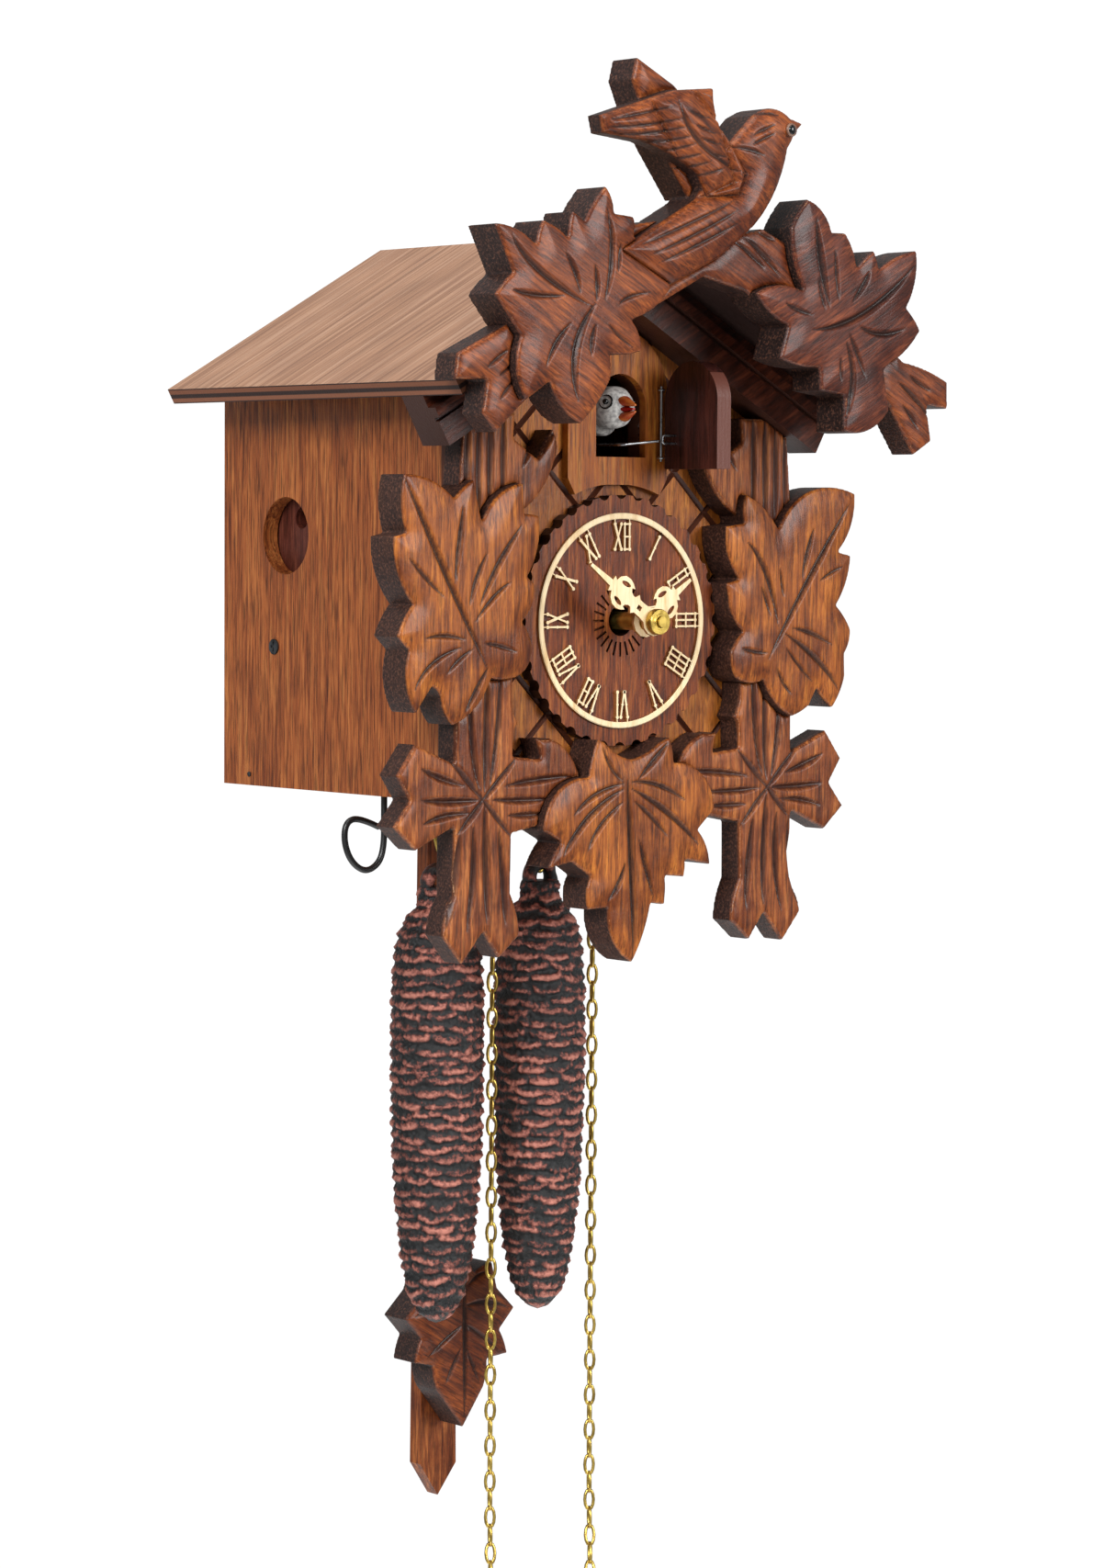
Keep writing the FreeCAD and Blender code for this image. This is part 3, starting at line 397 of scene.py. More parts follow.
class CLOCK_OT_finishes(bpy.types.Operator):
    """Mix the woods, metals and paints"""
    bl_idname = "clock.finishes"
    bl_label = "Finishes"

    def execute(self, context):
        tints = context.scene.clock_colours
        FINISHES["veneer"] = stained_wood("side_veneer", "#5A2610", tints.veneer, "#B4703A",
                                          grain=(780.0, 780.0, 34.0), pores=0.6, blotch=0.16,
                                          coat=0.08)[0]
        FINISHES["roof"] = roof_board()
        # Painted shade: every face of the front panel that doesn't look straight out, the walls of its
        # V-grooves and its cut edges, is tinted dark #4A2414.
        FINISHES["front"] = by_facing(
            stained_wood("front_veneer", "#733A12", tints.front, "#C47C2E", grain=(520.0, 60.0, 60.0),
                         pores=0.4, blotch=0.4), 1, -0.97, 0.9, "#4A2414")
        FINISHES["surround"] = stained_wood("surround_veneer", "#824011", "#A1561C", "#BE772B",
                                            grain=(500.0, 60.0, 34.0), blotch=0.3)[0]
        FINISHES["carved"] = stained_wood("carved_limewood", "#5F2A0C", tints.carved, "#BC7029",
                                          blotch=0.6)[0]
        # The posts' pinkish tint on the outlines and flute lips is a painted highlight; their cut colour is
        # painted shade in the gouges.
        FINISHES["post"] = stained_wood("post_limewood", "#56280F", "#87451C", "#B56E36",
                                        cut="#2A1511", blotch=0.6, highlight_tint="#C08F68")[0]
        FINISHES["crown"] = stained_wood("crown_limewood", "#451C0A", tints.crown, "#9C5221",
                                         grain=(60.0, 620.0, 620.0), turn=-ROOF_PITCH, blotch=0.6,
                                         side="#261B1A")[0]
        # Painted shade: a darker copy of the crown wood, with darker sawn sides, for the right-hand crown
        # leaf.
        FINISHES["crown_right_shaded"] = stained_wood("crown_limewood_right_shaded", "#34140B", "#592511", "#824224",
                                               grain=(60.0, 620.0, 620.0), turn=ROOF_PITCH,
                                               side="#1E1615", blotch=0.6)[0]
        FINISHES["trim"] = by_facing(
            stained_wood("trim_wood", "#2A120A", "#431C0F", "#693420", grain=(50.0, 500.0, 400.0),
                         turn=ROOF_PITCH, blotch=0.5), 1, -0.9, 0.9, "#3A2018")
        FINISHES["dial"] = by_facing(
            stained_wood("dial_wood", "#431B0A", "#763613", "#A05A25", grain=(640.0, 60.0, 48.0),
                         pores=0.5, blotch=0.25), 1, -0.9, 0.9, "#200E08")
        FINISHES["cream"] = by_facing(
            stained_wood("pale_maple", "#D9B784", tints.cream, "#F6E2BC", grain=(300.0, 60.0, 40.0),
                         pores=0.06, blotch=0.1, rough=0.5, coat=0.0), 1, -0.7, 0.9, "#8A5A30")
        FINISHES["door"] = by_facing(
            stained_wood("door_wood", "#29120D", "#3B1A15", "#4C251C", grain=(300.0, 300.0, 30.0),
                         blotch=0.3), 1, -1.1, -0.7, "#5E362C")
        FINISHES["inner"] = stained_wood("inner_spruce", "#3E1F16", "#58291F", "#6E3C2C",
                                         grain=(500.0, 500.0, 40.0), blotch=0.3)[0]
        FINISHES["brass"] = metal("drawn_brass", tints.brass, 0.3, "#B3964A")
        FINISHES["steel"] = metal("bright_steel_wire", "#A9ABAD", 0.28, "#7D7F82")
        FINISHES["screw"] = metal("dull_zinc_screw", "#5F6164", 0.4, "#303234")
        FINISHES["black"] = paint("black_enamelled_wire", "#1A1B1C", "#0E0F10", 0.35)
        FINISHES["white"] = paint("white_bird_paint", "#D9D7D2", "#9D9A98", 0.5, 900.0)
        FINISHES["orange"] = paint("orange_beak_paint", "#C4682C", "#B0361E", 0.4)
        FINISHES["red"] = paint("red_mouth_paint", "#B01A14", "#8A0E0C", 0.35)
        FINISHES["beak_tip"] = paint("worn_grey_beak_paint", "#B9B6B2", "#6E6460", 0.35, 500.0)
        FINISHES["eye_rim"] = paint("eye_rim_paint", "#7A5A48", "#4E2A1E", 0.35)
        FINISHES["eye"] = paint("black_eye_lacquer", "#070707", "#101010", 0.12)
        FINISHES["cone"] = cone_paint()
        kept = {
            "veneer": ("back_board", "side_wall_left", "side_wall_right", "bottom_board"),
            "roof": ("roof_panel_left", "roof_panel_right"),
            "front": ("front_panel",),
            "surround": ("door_surround",),
            "trim": ("gable_trim_left", "gable_trim_right"),
            "dial": ("dial_disc",),
            "door": ("door_leaf",),
            "post": ("pendulum_rod",),
            "inner": ("whistles", "bellows_lid_left", "bellows_lid_right", "cuckoo_arm"),
            "brass": ("movement_front_plate", "movement_back_plate", "movement_pillars",
                      "going_chain_wheel", "strike_chain_wheel", "third_wheel", "escape_wheel",
                      "hour_pipe", "minute_arbor"),
            "steel": ("anchor", "gong", "hammer", "door_staple", "door_hinge_wire", "door_link_wire"),
        }
        for finish, nodes in kept.items():
            for node in nodes:
                dress(node, FINISHES[finish])
        return {"FINISHED"}


# ---- carving -------------------------------------------------------------
# A gouge cut is its start, the point it bends towards, its end and its width,
# all in millimetres across the clock's front.
LEAF_LEFT_CUTS = (
    ((-81, -45.5), (-70.5, -66), (-53.5, -96), 1.5),
    ((-61.5, -52), (-63, -61.5), (-64.5, -73), 1.3),
    ((-53.5, -65), (-57.5, -71.5), (-59.5, -79), 1.1),
    ((-41.5, -57.5), (-51, -68.5), (-56, -79.5), 1.3),
    ((-45.5, -73), (-51, -76), (-57.5, -83.5), 1.1),
    ((-80, -66.5), (-74, -72.5), (-68, -77), 1.0),
    ((-74.5, -88), (-68.5, -86.5), (-60.5, -88.5), 1.1),
    ((-54.5, -89.5), (-49, -90), (-43, -92), 1.0),
    ((-77.5, -101.5), (-74, -93.5), (-62.5, -90.5), 1.1),
    ((-67, -97.5), (-63.5, -93.5), (-58.5, -91), 0.9),
    ((-60.5, -108), (-57.5, -103), (-53, -96), 1.3),
)
LEAF_RIGHT_CUTS = (
    ((80, -51), (67, -68), (49, -95), 1.5),
    ((66, -58), (63.5, -65), (61.5, -72.5), 1.3),
    ((40.5, -62), (49, -67.5), (52.5, -86), 1.4),
    ((53, -69.5), (54, -74), (54.5, -78), 0.9),
    ((46, -74.5), (48, -78.5), (49.5, -83), 0.9),
    ((77.5, -69), (73, -70.5), (68.5, -73), 0.9),
    ((58, -86.5), (65.5, -87.5), (73.5, -91.5), 1.1),
    ((55, -88), (69.5, -95), (76.5, -104.5), 1.4),
    ((55.5, -92), (60.5, -97.5), (66, -102), 0.9),
    ((39, -92), (43.5, -93.5), (48.5, -93.5), 1.0),
    ((52.5, -98), (54, -102), (58, -105.5), 1.0),
)
LEAF_BOTTOM_CUTS = (
    ((-3.5, -128), (-1.5, -148), (-0.5, -178.5), 1.7),
    ((-12, -118.5), (-10, -125), (-5, -128.5), 1.1),
    ((12, -118), (7, -122.5), (0.5, -128), 1.2),
    ((-22.5, -137), (-16, -130.5), (-5, -129), 1.2),
    ((-26, -148.5), (-19.5, -136.5), (-5, -130.5), 1.5),
    ((-17.5, -147), (-14.5, -140), (-5, -134), 1.2),
    ((-2, -128.5), (8.5, -128.5), (18, -134.5), 1.2),
    ((-2, -130.5), (13, -137), (23, -147), 1.5),
    ((-1, -134), (5.5, -138), (11.5, -144.5), 1.1),
    ((-4, -151), (-5.5, -156.5), (-10, -161.5), 1.2),
    ((1, -145), (3.5, -152.5), (6.5, -161), 1.3),
)
POST_CUTS = (
    ((-64, -120), (-57.5, -126.5), (-51, -133), 1.2),
    ((-53, -131), (-47, -137), (-42, -142.5), 1.2),
    ((-40.5, -121), (-46.5, -127), (-53, -133), 1.2),
    ((-51, -131), (-55.5, -136), (-60.5, -141), 1.2),
    ((-73, -123), (-67, -126), (-58.5, -128), 1.5),
    ((-73, -131.5), (-63.5, -132.5), (-53, -132), 1.6),
    ((-72.5, -138), (-66, -135.5), (-56.5, -135.5), 1.4),
    ((-44.5, -128.5), (-33.5, -127), (-21, -126.5), 1.4),
    ((-49, -132), (-40, -133), (-28, -132.5), 1.4),
    ((-43.5, -136.5), (-36.5, -137), (-30, -136.5), 1.3),
    ((-57, -100), (-56, -121), (-53, -129.5), 1.3),
    ((-51, -92), (-50.5, -119.5), (-51.5, -130), 1.5),
    ((-46, -92), (-46, -117), (-50, -129), 1.3),
    ((-51.5, -133.5), (-50.5, -150), (-50.5, -165.5), 1.6),
    ((-55.5, -139.5), (-54, -153), (-57.5, -167.5), 1.5),
    ((-46.5, -140), (-44.5, -153.5), (-44, -167), 1.5),
    ((-60, -141), (-60.5, -155), (-64.5, -166.5), 1.6),
    ((-57.5, -26), (-58, -39), (-58, -62), 1.4),
    ((-54, -26), (-54, -38), (-54, -62), 1.3),
    ((-50, -26), (-50, -36), (-50, -62), 1.4),
    ((-45.5, -26), (-45.5, -34), (-45.5, -62), 1.3),
    ((-32, -32), (-35.5, -35.5), (-39, -42), 1.3),
    ((-26.5, -31), (-29.5, -34.5), (-32, -38.5), 1.0),
)
CROWN_LEFT_CUTS = (
    ((-67.5, 18.5), (-62, 8.5), (-40.5, 0.5), 1.5),
    ((-67.5, 4), (-60.5, 2), (-50, 3), 1.3),
    ((-49.5, 14.5), (-45.5, 9.5), (-44.5, 4), 1.2),
    ((-39.5, 11.5), (-38, 6.5), (-39, 2), 1.1),
    ((-35, 26.5), (-31.5, 15), (-36, 2.5), 1.5),
    ((-30, 18), (-30.5, 14), (-31.5, 10), 0.9),
    ((-31, 1.5), (-28, 4), (-20, 5), 0.9),
    ((-39.5, 1), (-49.5, -10.5), (-45, -24.5), 1.8),
    ((-39, -4), (-41, -8.5), (-40.5, -12.5), 1.1),
    ((-34.5, -4), (-31.5, -7), (-25.5, -10), 0.9),
    ((-47.5, -4), (-53.5, -9), (-56, -16), 1.1),
)
CROWN_RIGHT_CUTS = (
    ((39.5, -3), (59.5, -2), (78, 16), 1.7),
    ((40.5, 27.5), (41.5, 16.5), (45.5, 3.5), 1.8),
    ((41.5, 11.5), (42.5, 6.5), (44, 2.5), 1.0),
    ((47.5, 19.5), (48, 12.5), (49, 5.5), 1.0),
    ((61, 14), (59, 10), (54, 5), 1.2),
    ((57, -1.5), (65.5, -5.5), (75, -1.5), 1.3),
    ((29, 4), (33.5, 2), (39, 1), 1.1),
    ((53, -3.5), (56.5, -9), (59.5, -16), 1.1),
    ((52, -6), (57, -15.5), (53, -27), 1.5),
    ((50, -10), (50, -14), (50.5, -17.5), 0.9),
)
BRANCH_CUTS = (
    ((-73.5, -16.5), (-69.5, -13.5), (-66, -11.5), 1.0),
    ((-69.5, -18.5), (-65, -16), (-59, -12.5), 1.0),
    ((-69, -24.5), (-67, -22), (-63, -19), 1.0),
    ((-54.5, -7), (-61, -13), (-62, -23.5), 1.3),
    ((75, -16.5), (82.5, -21), (88.5, -26.5), 1.3),
    ((79.5, -14.5), (82.5, -16.5), (88, -19), 1.0),
    ((77, -23), (80, -25.5), (83, -30), 1.0),
    ((21, 23.5), (25, 22), (28, 21), 1.2),
    ((12.5, 20.5), (18.5, 17.5), (24, 13), 1.2),
    ((16.5, 21.5), (23, 17.5), (30, 11), 1.2),
)
BIRD_CUTS = (
    ((-12, 57), (-9, 43.5), (12.5, 38.5), 1.6),
    ((-35.5, 50), (-24.5, 52), (-13.5, 55), 1.0),
    ((-36.5, 48), (-24.5, 48.5), (-10, 52), 1.0),
    ((-33, 46.5), (-21, 46.5), (-8.5, 50), 1.0),
    ((-27, 45), (-17.5, 44.5), (-7, 47.5), 1.0),
    ((-17.5, 43), (-12.5, 43), (-6, 45.5), 0.9),
    ((-12.5, 41), (-7.5, 41.5), (-3.5, 43), 0.9),
    ((-8.5, 39), (-4, 39.5), (-0.5, 41), 0.8),
    ((-4, 37), (-0.5, 37.5), (4.5, 39.5), 0.8),
    ((-8.5, 54), (-4, 52.5), (-0.5, 52.5), 0.9),
    ((-6.5, 50.5), (-2.5, 49), (1.5, 48.5), 0.9),
    ((-4.5, 47), (-0.5, 46), (4, 45.5), 0.9),
    ((-2, 43.5), (2, 42.5), (6.5, 42.5), 0.9),
    ((16, 49), (19, 50.5), (24, 52.5), 1.0),
    ((15.5, 46.5), (19, 48), (23.5, 50), 1.0),
    ((9, 45.5), (14, 45.5), (20, 43.5), 1.0),
    ((18.5, 55), (21.5, 55.5), (25.5, 55), 0.8),
    ((-23.5, 17.5), (-8, 23), (9.5, 31), 1.1),
    ((-20.5, 15), (-4, 21), (10.5, 28.5), 1.1),
    ((-17.5, 13), (-3, 18.5), (10.5, 25), 1.0),
)
PENDULUM_CUTS = (
    ((0, -271), (1, -296), (0.5, -320), 1.6),
    ((0, -287), (8, -285), (17, -289), 1.3),
    ((0, -287), (-8, -284), (-18, -288.5), 1.3),
    ((0, -292), (7, -296), (13, -301), 1.2),
    ((0, -292), (-7, -296), (-13, -300.5), 1.2),
    ((1, -299), (3.5, -305), (6, -310), 1.1),
    ((-1, -299), (-4, -304), (-6.5, -309), 1.1),
    ((1, -281), (6, -278), (9, -277.5), 1.0),
    ((-1, -281), (-5, -278), (-9, -277), 1.0),
)
CUT_WIDTH = 0.72       # half a gouge's width over the width it is listed with
CUT_DEPTH = 1.15       # depth at the middle over the half width


def cut_depth(xz, cuts, bold):
    """How deep each point lies in the nearest gouge, and that depth from 0 to 1."""
    deepest = np.zeros(len(xz))
    share = np.zeros(len(xz))
    for start, bend, end, width in cuts:
        t = np.linspace(0.0, 1.0, 25)[:, None]
        way = (1 - t) ** 2 * np.array(start) + 2 * t * (1 - t) * np.array(bend) + t * t * np.array(end)
        low, high = way.min(0) - 3.0, way.max(0) + 3.0
        near = np.where(np.all((xz > low) & (xz < high), axis=1))[0]
        if not len(near):
            continue
        best = np.full(len(near), 1e9)
        along = np.zeros(len(near))
        for i in range(len(way) - 1):
            run = way[i + 1] - way[i]
            share_of_run = np.clip(((xz[near] - way[i]) @ run) / (run @ run), 0, 1)
            gap = np.linalg.norm(xz[near] - way[i] - share_of_run[:, None] * run, axis=1)
            closer = gap < best
            best[closer] = gap[closer]
            along[closer] = (i + share_of_run[closer]) / (len(way) - 1)
        half = width * CUT_WIDTH * bold * np.sin(np.pi * np.clip(along, 0.02, 0.98)) ** 0.6
        inside = np.clip(1 - best / half, 0, 1)
        depth = CUT_DEPTH * half * (0.75 * inside + 0.25 * inside ** 2)
        deepest[near] = np.maximum(deepest[near], depth)
        share[near] = np.maximum(share[near], np.clip(inside * 1.5, 0, 1))
    return deepest, share


def carve(node, name, cuts, dome, reach=7.0, edge=None, bold=1.0):
    """Copy a flat CAD carving, mesh it finely, dome its face and cut its gouges."""
    sizes = bpy.context.scene.clock_sizes
    item = copied(node, name)
    apply_modifier(item, "REMESH", mode="VOXEL", voxel_size=sizes.voxel, use_smooth_shade=True)
    count = len(item.data.vertices)
    place = np.empty(count * 3)
    item.data.vertices.foreach_get("co", place)
    place = place.reshape(-1, 3)
    facing = np.empty(count * 3)
    item.data.vertices.foreach_get("normal", facing)
    facing = facing.reshape(-1, 3)
    low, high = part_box(node)
    sides = np.where(np.abs(facing[:, 1]) < 0.45)[0]
    tree = KDTree(len(sides))
    for i in sides:
        tree.insert((place[i, 0], 0.0, place[i, 2]), int(i))
    tree.balance()
    front = np.where(facing[:, 1] < -0.3)[0]
    from_edge = np.zeros(count)
    for i in front:
        from_edge[i] = tree.find((place[i, 0], 0.0, place[i, 2]))[2]
    eased = sizes.edge_round if edge is None else edge * MM
    fall = np.clip(1 - from_edge / (reach * MM), 0, 1)
    drop = dome * MM * fall * fall
    near = np.clip(1 - from_edge / eased, 0, 1)
    drop += eased * (1 - np.sqrt(np.clip(1 - near * near, 0, 1)))
    depth, share = cut_depth(place[:, [0, 2]] / MM, cuts, bold)
    drop += depth * MM
    thick = (high.y - low.y) * 0.8
    keep = np.clip(1 - (place[:, 1] - low.y) / thick, 0, 1)
    place[:, 1] += drop * keep
    item.data.vertices.foreach_set("co", place.ravel())
    # Where sawn is high the sides are tinted near-black, painted shade that grows further back from the
    # face; sawn also roughens them.
    sawn = np.clip((0.8 - np.abs(facing[:, 1])) / 0.5, 0, 1)
    sawn *= np.clip((place[:, 1] - low.y) / (1.6 * MM), 0.25, 1)
    # rim and lip mark bands along the outline and along the gouges' lips, tinted pale as painted highlights.
    rim = np.clip(1 - np.abs(from_edge - 0.3 * MM) / (0.45 * MM), 0, 1) * (facing[:, 1] < -0.3)
    lip = np.clip(1 - np.abs(share - 0.12) / 0.14, 0, 1) * (share > 0) * (facing[:, 1] < -0.3)
    painted_highlight = np.maximum(rim * 0.85, lip * 0.6)
    # carved marks the gouges for their near-black painted shade, and sawn marks the sides for theirs.
    for label, values in (("carved", share * (facing[:, 1] < -0.3) * 0.85), ("sawn", sawn * 0.95),
                          ("painted_highlight", painted_highlight)):
        layer = item.data.attributes.new(label, "FLOAT", "POINT")
        layer.data.foreach_set("value", values.astype(np.float32))
    item.data.update()
    select_only(item)
    bpy.ops.object.shade_smooth()
    return item


def other_side(cuts):
    return tuple(tuple((-p[0], p[1]) for p in cut[:3]) + (cut[3],) for cut in cuts)


class CLOCK_OT_leaves(bpy.types.Operator):
    """Carve the three leaves on the front"""
    bl_idname = "clock.leaves"
    bl_label = "Front leaves"

    def execute(self, context):
        dome = context.scene.clock_sizes.dome / MM
        for node, cuts in (("leaf_left", LEAF_LEFT_CUTS), ("leaf_right", LEAF_RIGHT_CUTS),
                           ("leaf_bottom", LEAF_BOTTOM_CUTS)):
            leaf = carve(node, "carved_" + node, cuts, dome, bold=1.15)
            finish_piece(leaf, "case", "carved_wood", FINISHES["carved"], node)
        return {"FINISHED"}


class CLOCK_OT_posts(bpy.types.Operator):
    """Carve the two fluted posts with their crosses"""
    bl_idname = "clock.posts"
    bl_label = "Posts"

    def execute(self, context):
        for side, cuts in (("left", POST_CUTS), ("right", other_side(POST_CUTS))):
            post = carve("carved_post_" + side, "fluted_post_" + side, cuts, 0.4, reach=3.0, edge=0.9,
                         bold=1.3)
            finish_piece(post, "case", "carved_wood", FINISHES["post"], "carved_post_" + side)
        return {"FINISHED"}


class CLOCK_OT_crown(bpy.types.Operator):
    """Carve the crown's leaves, branch and flying bird"""
    bl_idname = "clock.crown"
    bl_label = "Crown"

    def execute(self, context):
        dome = context.scene.clock_sizes.dome / MM
        # The right-hand leaf takes the darker copy of the crown wood, which is painted shade.
        for node, cuts, finish in (("crown_leaf_left", CROWN_LEFT_CUTS, "crown"),
                                   ("crown_leaf_right", CROWN_RIGHT_CUTS, "crown_right_shaded")):
            leaf = carve(node, "carved_" + node, cuts, dome, bold=1.15)
            finish_piece(leaf, "case", "crown_wood", FINISHES[finish], node)
        branch = carve("crown_branch", "carved_crown_branch", BRANCH_CUTS, 0.8, reach=4.0, edge=0.9,
                       bold=1.15)
        finish_piece(branch, "case", "crown_wood", FINISHES["crown"], "crown_branch")
        bird = carve("crown_bird", "carved_crown_bird", BIRD_CUTS, 2.2, reach=7.0, edge=1.6)
        finish_piece(bird, "case", "crown_wood", FINISHES["crown"], "crown_bird")
        self.eye(Vector((29.2, -148.4, 51.2)) * MM)
        return {"FINISHED"}

    def eye(self, at):
        bpy.ops.object.select_all(action="DESELECT")
        bpy.ops.mesh.primitive_uv_sphere_add(segments=24, ring_count=16, radius=1.25 * MM, location=at)
        ball = bpy.context.object
        ball.scale = (1.0, 0.7, 1.15)
        ball = smooth(join([ball], "crown_bird_eye"), 60)
        finish_piece(ball, "case", "bird_eye_glass", FINISHES["eye"])
        bpy.ops.object.select_all(action="DESELECT")
        bpy.ops.mesh.primitive_torus_add(major_segments=32, minor_segments=10, major_radius=1.5 * MM,
                                         minor_radius=0.4 * MM, location=at,
                                         rotation=(math.pi / 2, 0, 0))
        lid = smooth(join([bpy.context.object], "crown_bird_eye_rim"), 60)
        finish_piece(lid, "case", "pale_wood", FINISHES["eye_rim"])
        bpy.ops.object.select_all(action="DESELECT")
        bpy.ops.mesh.primitive_cone_add(vertices=24, radius1=1.9 * MM, radius2=0.15 * MM, depth=6.5 * MM,
                                        location=at + Vector((5.4, 6.0, 1.7)) * MM,
                                        rotation=(0, math.radians(82), 0))
        beak = bpy.context.object
        beak.scale = (1.0, 1.3, 1.0)
        settle(beak)
        apply_modifier(beak, "BEVEL", width=0.3 * MM, segments=2, limit_method="ANGLE")
        smooth(beak, 50)
        beak.name = "crown_bird_beak"
        finish_piece(beak, "case", "pale_wood", FINISHES["beak_tip"])


# ---- dial ----------------------------------------------------------------
NUMERALS = ("I", "II", "III", "IIII", "V", "VI", "VII", "VIII", "IX", "X", "XI", "XII")
STROKE_ROOM = {"I": 1.75, "V": 3.3, "X": 3.1}
NUMERAL_FOOT, NUMERAL_TOP, RING_INSIDE = 19.9, 26.9, 28.5


def flat_stroke(out, a, b, wide, y0, y1):
    """A square bar from a to b on the dial."""
    a, b = Vector(a), Vector(b)
    along = (b - a).normalized()
    across = Vector((-along.y, along.x)) * wide / 2
    corners = [a + across, b + across, b - across, a - across]
    out.append((corners, y0, y1))


def disc(out, centre, radius, y0, y1, count=10):
    ring = [Vector((centre[0] + radius * math.cos(2 * math.pi * i / count),
                    centre[1] + radius * math.sin(2 * math.pi * i / count))) for i in range(count)]
    out.append((list(reversed(ring)), y0, y1))


def raised(name, outlines):
    """Stand flat outlines up into one mesh of closed plates."""
    points, faces = [], []
    for corners, y0, y1 in outlines:
        base = len(points)
        n = len(corners)
        for y in (y0, y1):
            points += [(p.x * MM, y * MM, p.y * MM) for p in corners]
        faces.append(tuple(base + i for i in range(n)))
        faces.append(tuple(base + n + i for i in reversed(range(n))))
        faces += [(base + (i + 1) % n, base + i, base + n + i, base + n + (i + 1) % n)
                  for i in range(n)]
    item = new_mesh(name, points, faces)
    return face_outwards(item)


def numeral_outlines(word, y0, y1):
    """One numeral, upright at twelve: thin bars with knobs, bars joined to their neighbours at
    both ends and the middle, and thin ties to the ring."""
    out = []
    top, low = NUMERAL_TOP, NUMERAL_FOOT
    middle = (top + low) / 2
    total = sum(STROKE_ROOM[letter] for letter in word)
    x = -total / 2
    bars, ties = [], []
    for letter in word:
        mid = x + STROKE_ROOM[letter] / 2
        if letter == "I":
            lines = [((mid, low), (mid, top), 0.55)]
            bars.append(mid)
            ties.append(mid)
        elif letter == "V":
            lines = [((mid - 1.25, top), (mid - 0.15, low), 0.62),
                     ((mid + 1.25, top), (mid + 0.1, low), 0.5)]
            ties += [mid - 1.25, mid + 1.25]
        else:
            lines = [((mid - 1.15, top), (mid + 1.15, low), 0.72),
                     ((mid + 1.15, top), (mid - 1.15, low), 0.5)]
            ties += [mid - 1.15, mid + 1.15]
        for k, (a, b, wide) in enumerate(lines):
            flat_stroke(out, a, b, wide, y0 - 0.03 * k, y1)
            for share in (0.0, 0.5, 1.0):
                if letter != "X" or share != 0.5:
                    disc(out, Vector(a).lerp(Vector(b), share), 0.52 if share != 0.5 else 0.42,
                         y0 - 0.06, y1)
        x += STROKE_ROOM[letter]
    for a, b in zip(bars, bars[1:]):
        if b - a < 2.0:
            for z in (low, middle, top):
                flat_stroke(out, (a, z), (b, z), 0.5, y0 - 0.015, y1)
    for x in (min(ties), max(ties)):
        flat_stroke(out, (x, top), (x, RING_INSIDE), 0.3, y0 + 0.02, y1)
    return out


class CLOCK_OT_dial(bpy.types.Operator):
    """Cut the chapter ring with its numerals"""
    bl_idname = "clock.dial"
    bl_label = "Chapter ring"

    def execute(self, context):
        front = DIAL.y / MM
        outlines = []
        for hour, word in enumerate(NUMERALS, start=1):
            c, s = math.cos(math.radians(30 * hour)), math.sin(math.radians(30 * hour))
            for corners, y0, y1 in numeral_outlines(word, front + 0.15, front + 1.0):
                spun = [Vector((p.x * c + p.y * s, -p.x * s + p.y * c + DIAL.z / MM)) for p in corners]
                outlines.append((spun, y0, y1))
        numerals = raised("numerals", outlines)
        count = 128
        points, faces = [], []
        section = ((28.3, 1.0), (28.3, 0.25), (28.55, 0.0), (29.75, 0.0), (30.0, 0.25), (30.0, 1.0))
        for i in range(count):
            a = 2 * math.pi * i / count
            for radius, depth in section:
                points.append((radius * math.sin(a) * MM, (front + depth) * MM,
                               DIAL.z + radius * math.cos(a) * MM))
        n = len(section)
        for i in range(count):
            for j in range(n):
                a, b = i * n + j, i * n + (j + 1) % n
                c, d = ((i + 1) % count) * n + (j + 1) % n, ((i + 1) % count) * n + j
                faces.append((a, b, c, d))
        ring = new_mesh("ring", points, faces)
        select_only(ring)
        bpy.ops.object.mode_set(mode="EDIT")
        bpy.ops.mesh.select_all(action="SELECT")
        bpy.ops.mesh.normals_make_consistent(inside=False)
        bpy.ops.object.mode_set(mode="OBJECT")
        piece = smooth(join([ring, numerals], "dial_ring_and_numerals"), 30)
        finish_piece(piece, "case", "pale_wood", FINISHES["cream"], "chapter_ring")
        return {"FINISHED"}


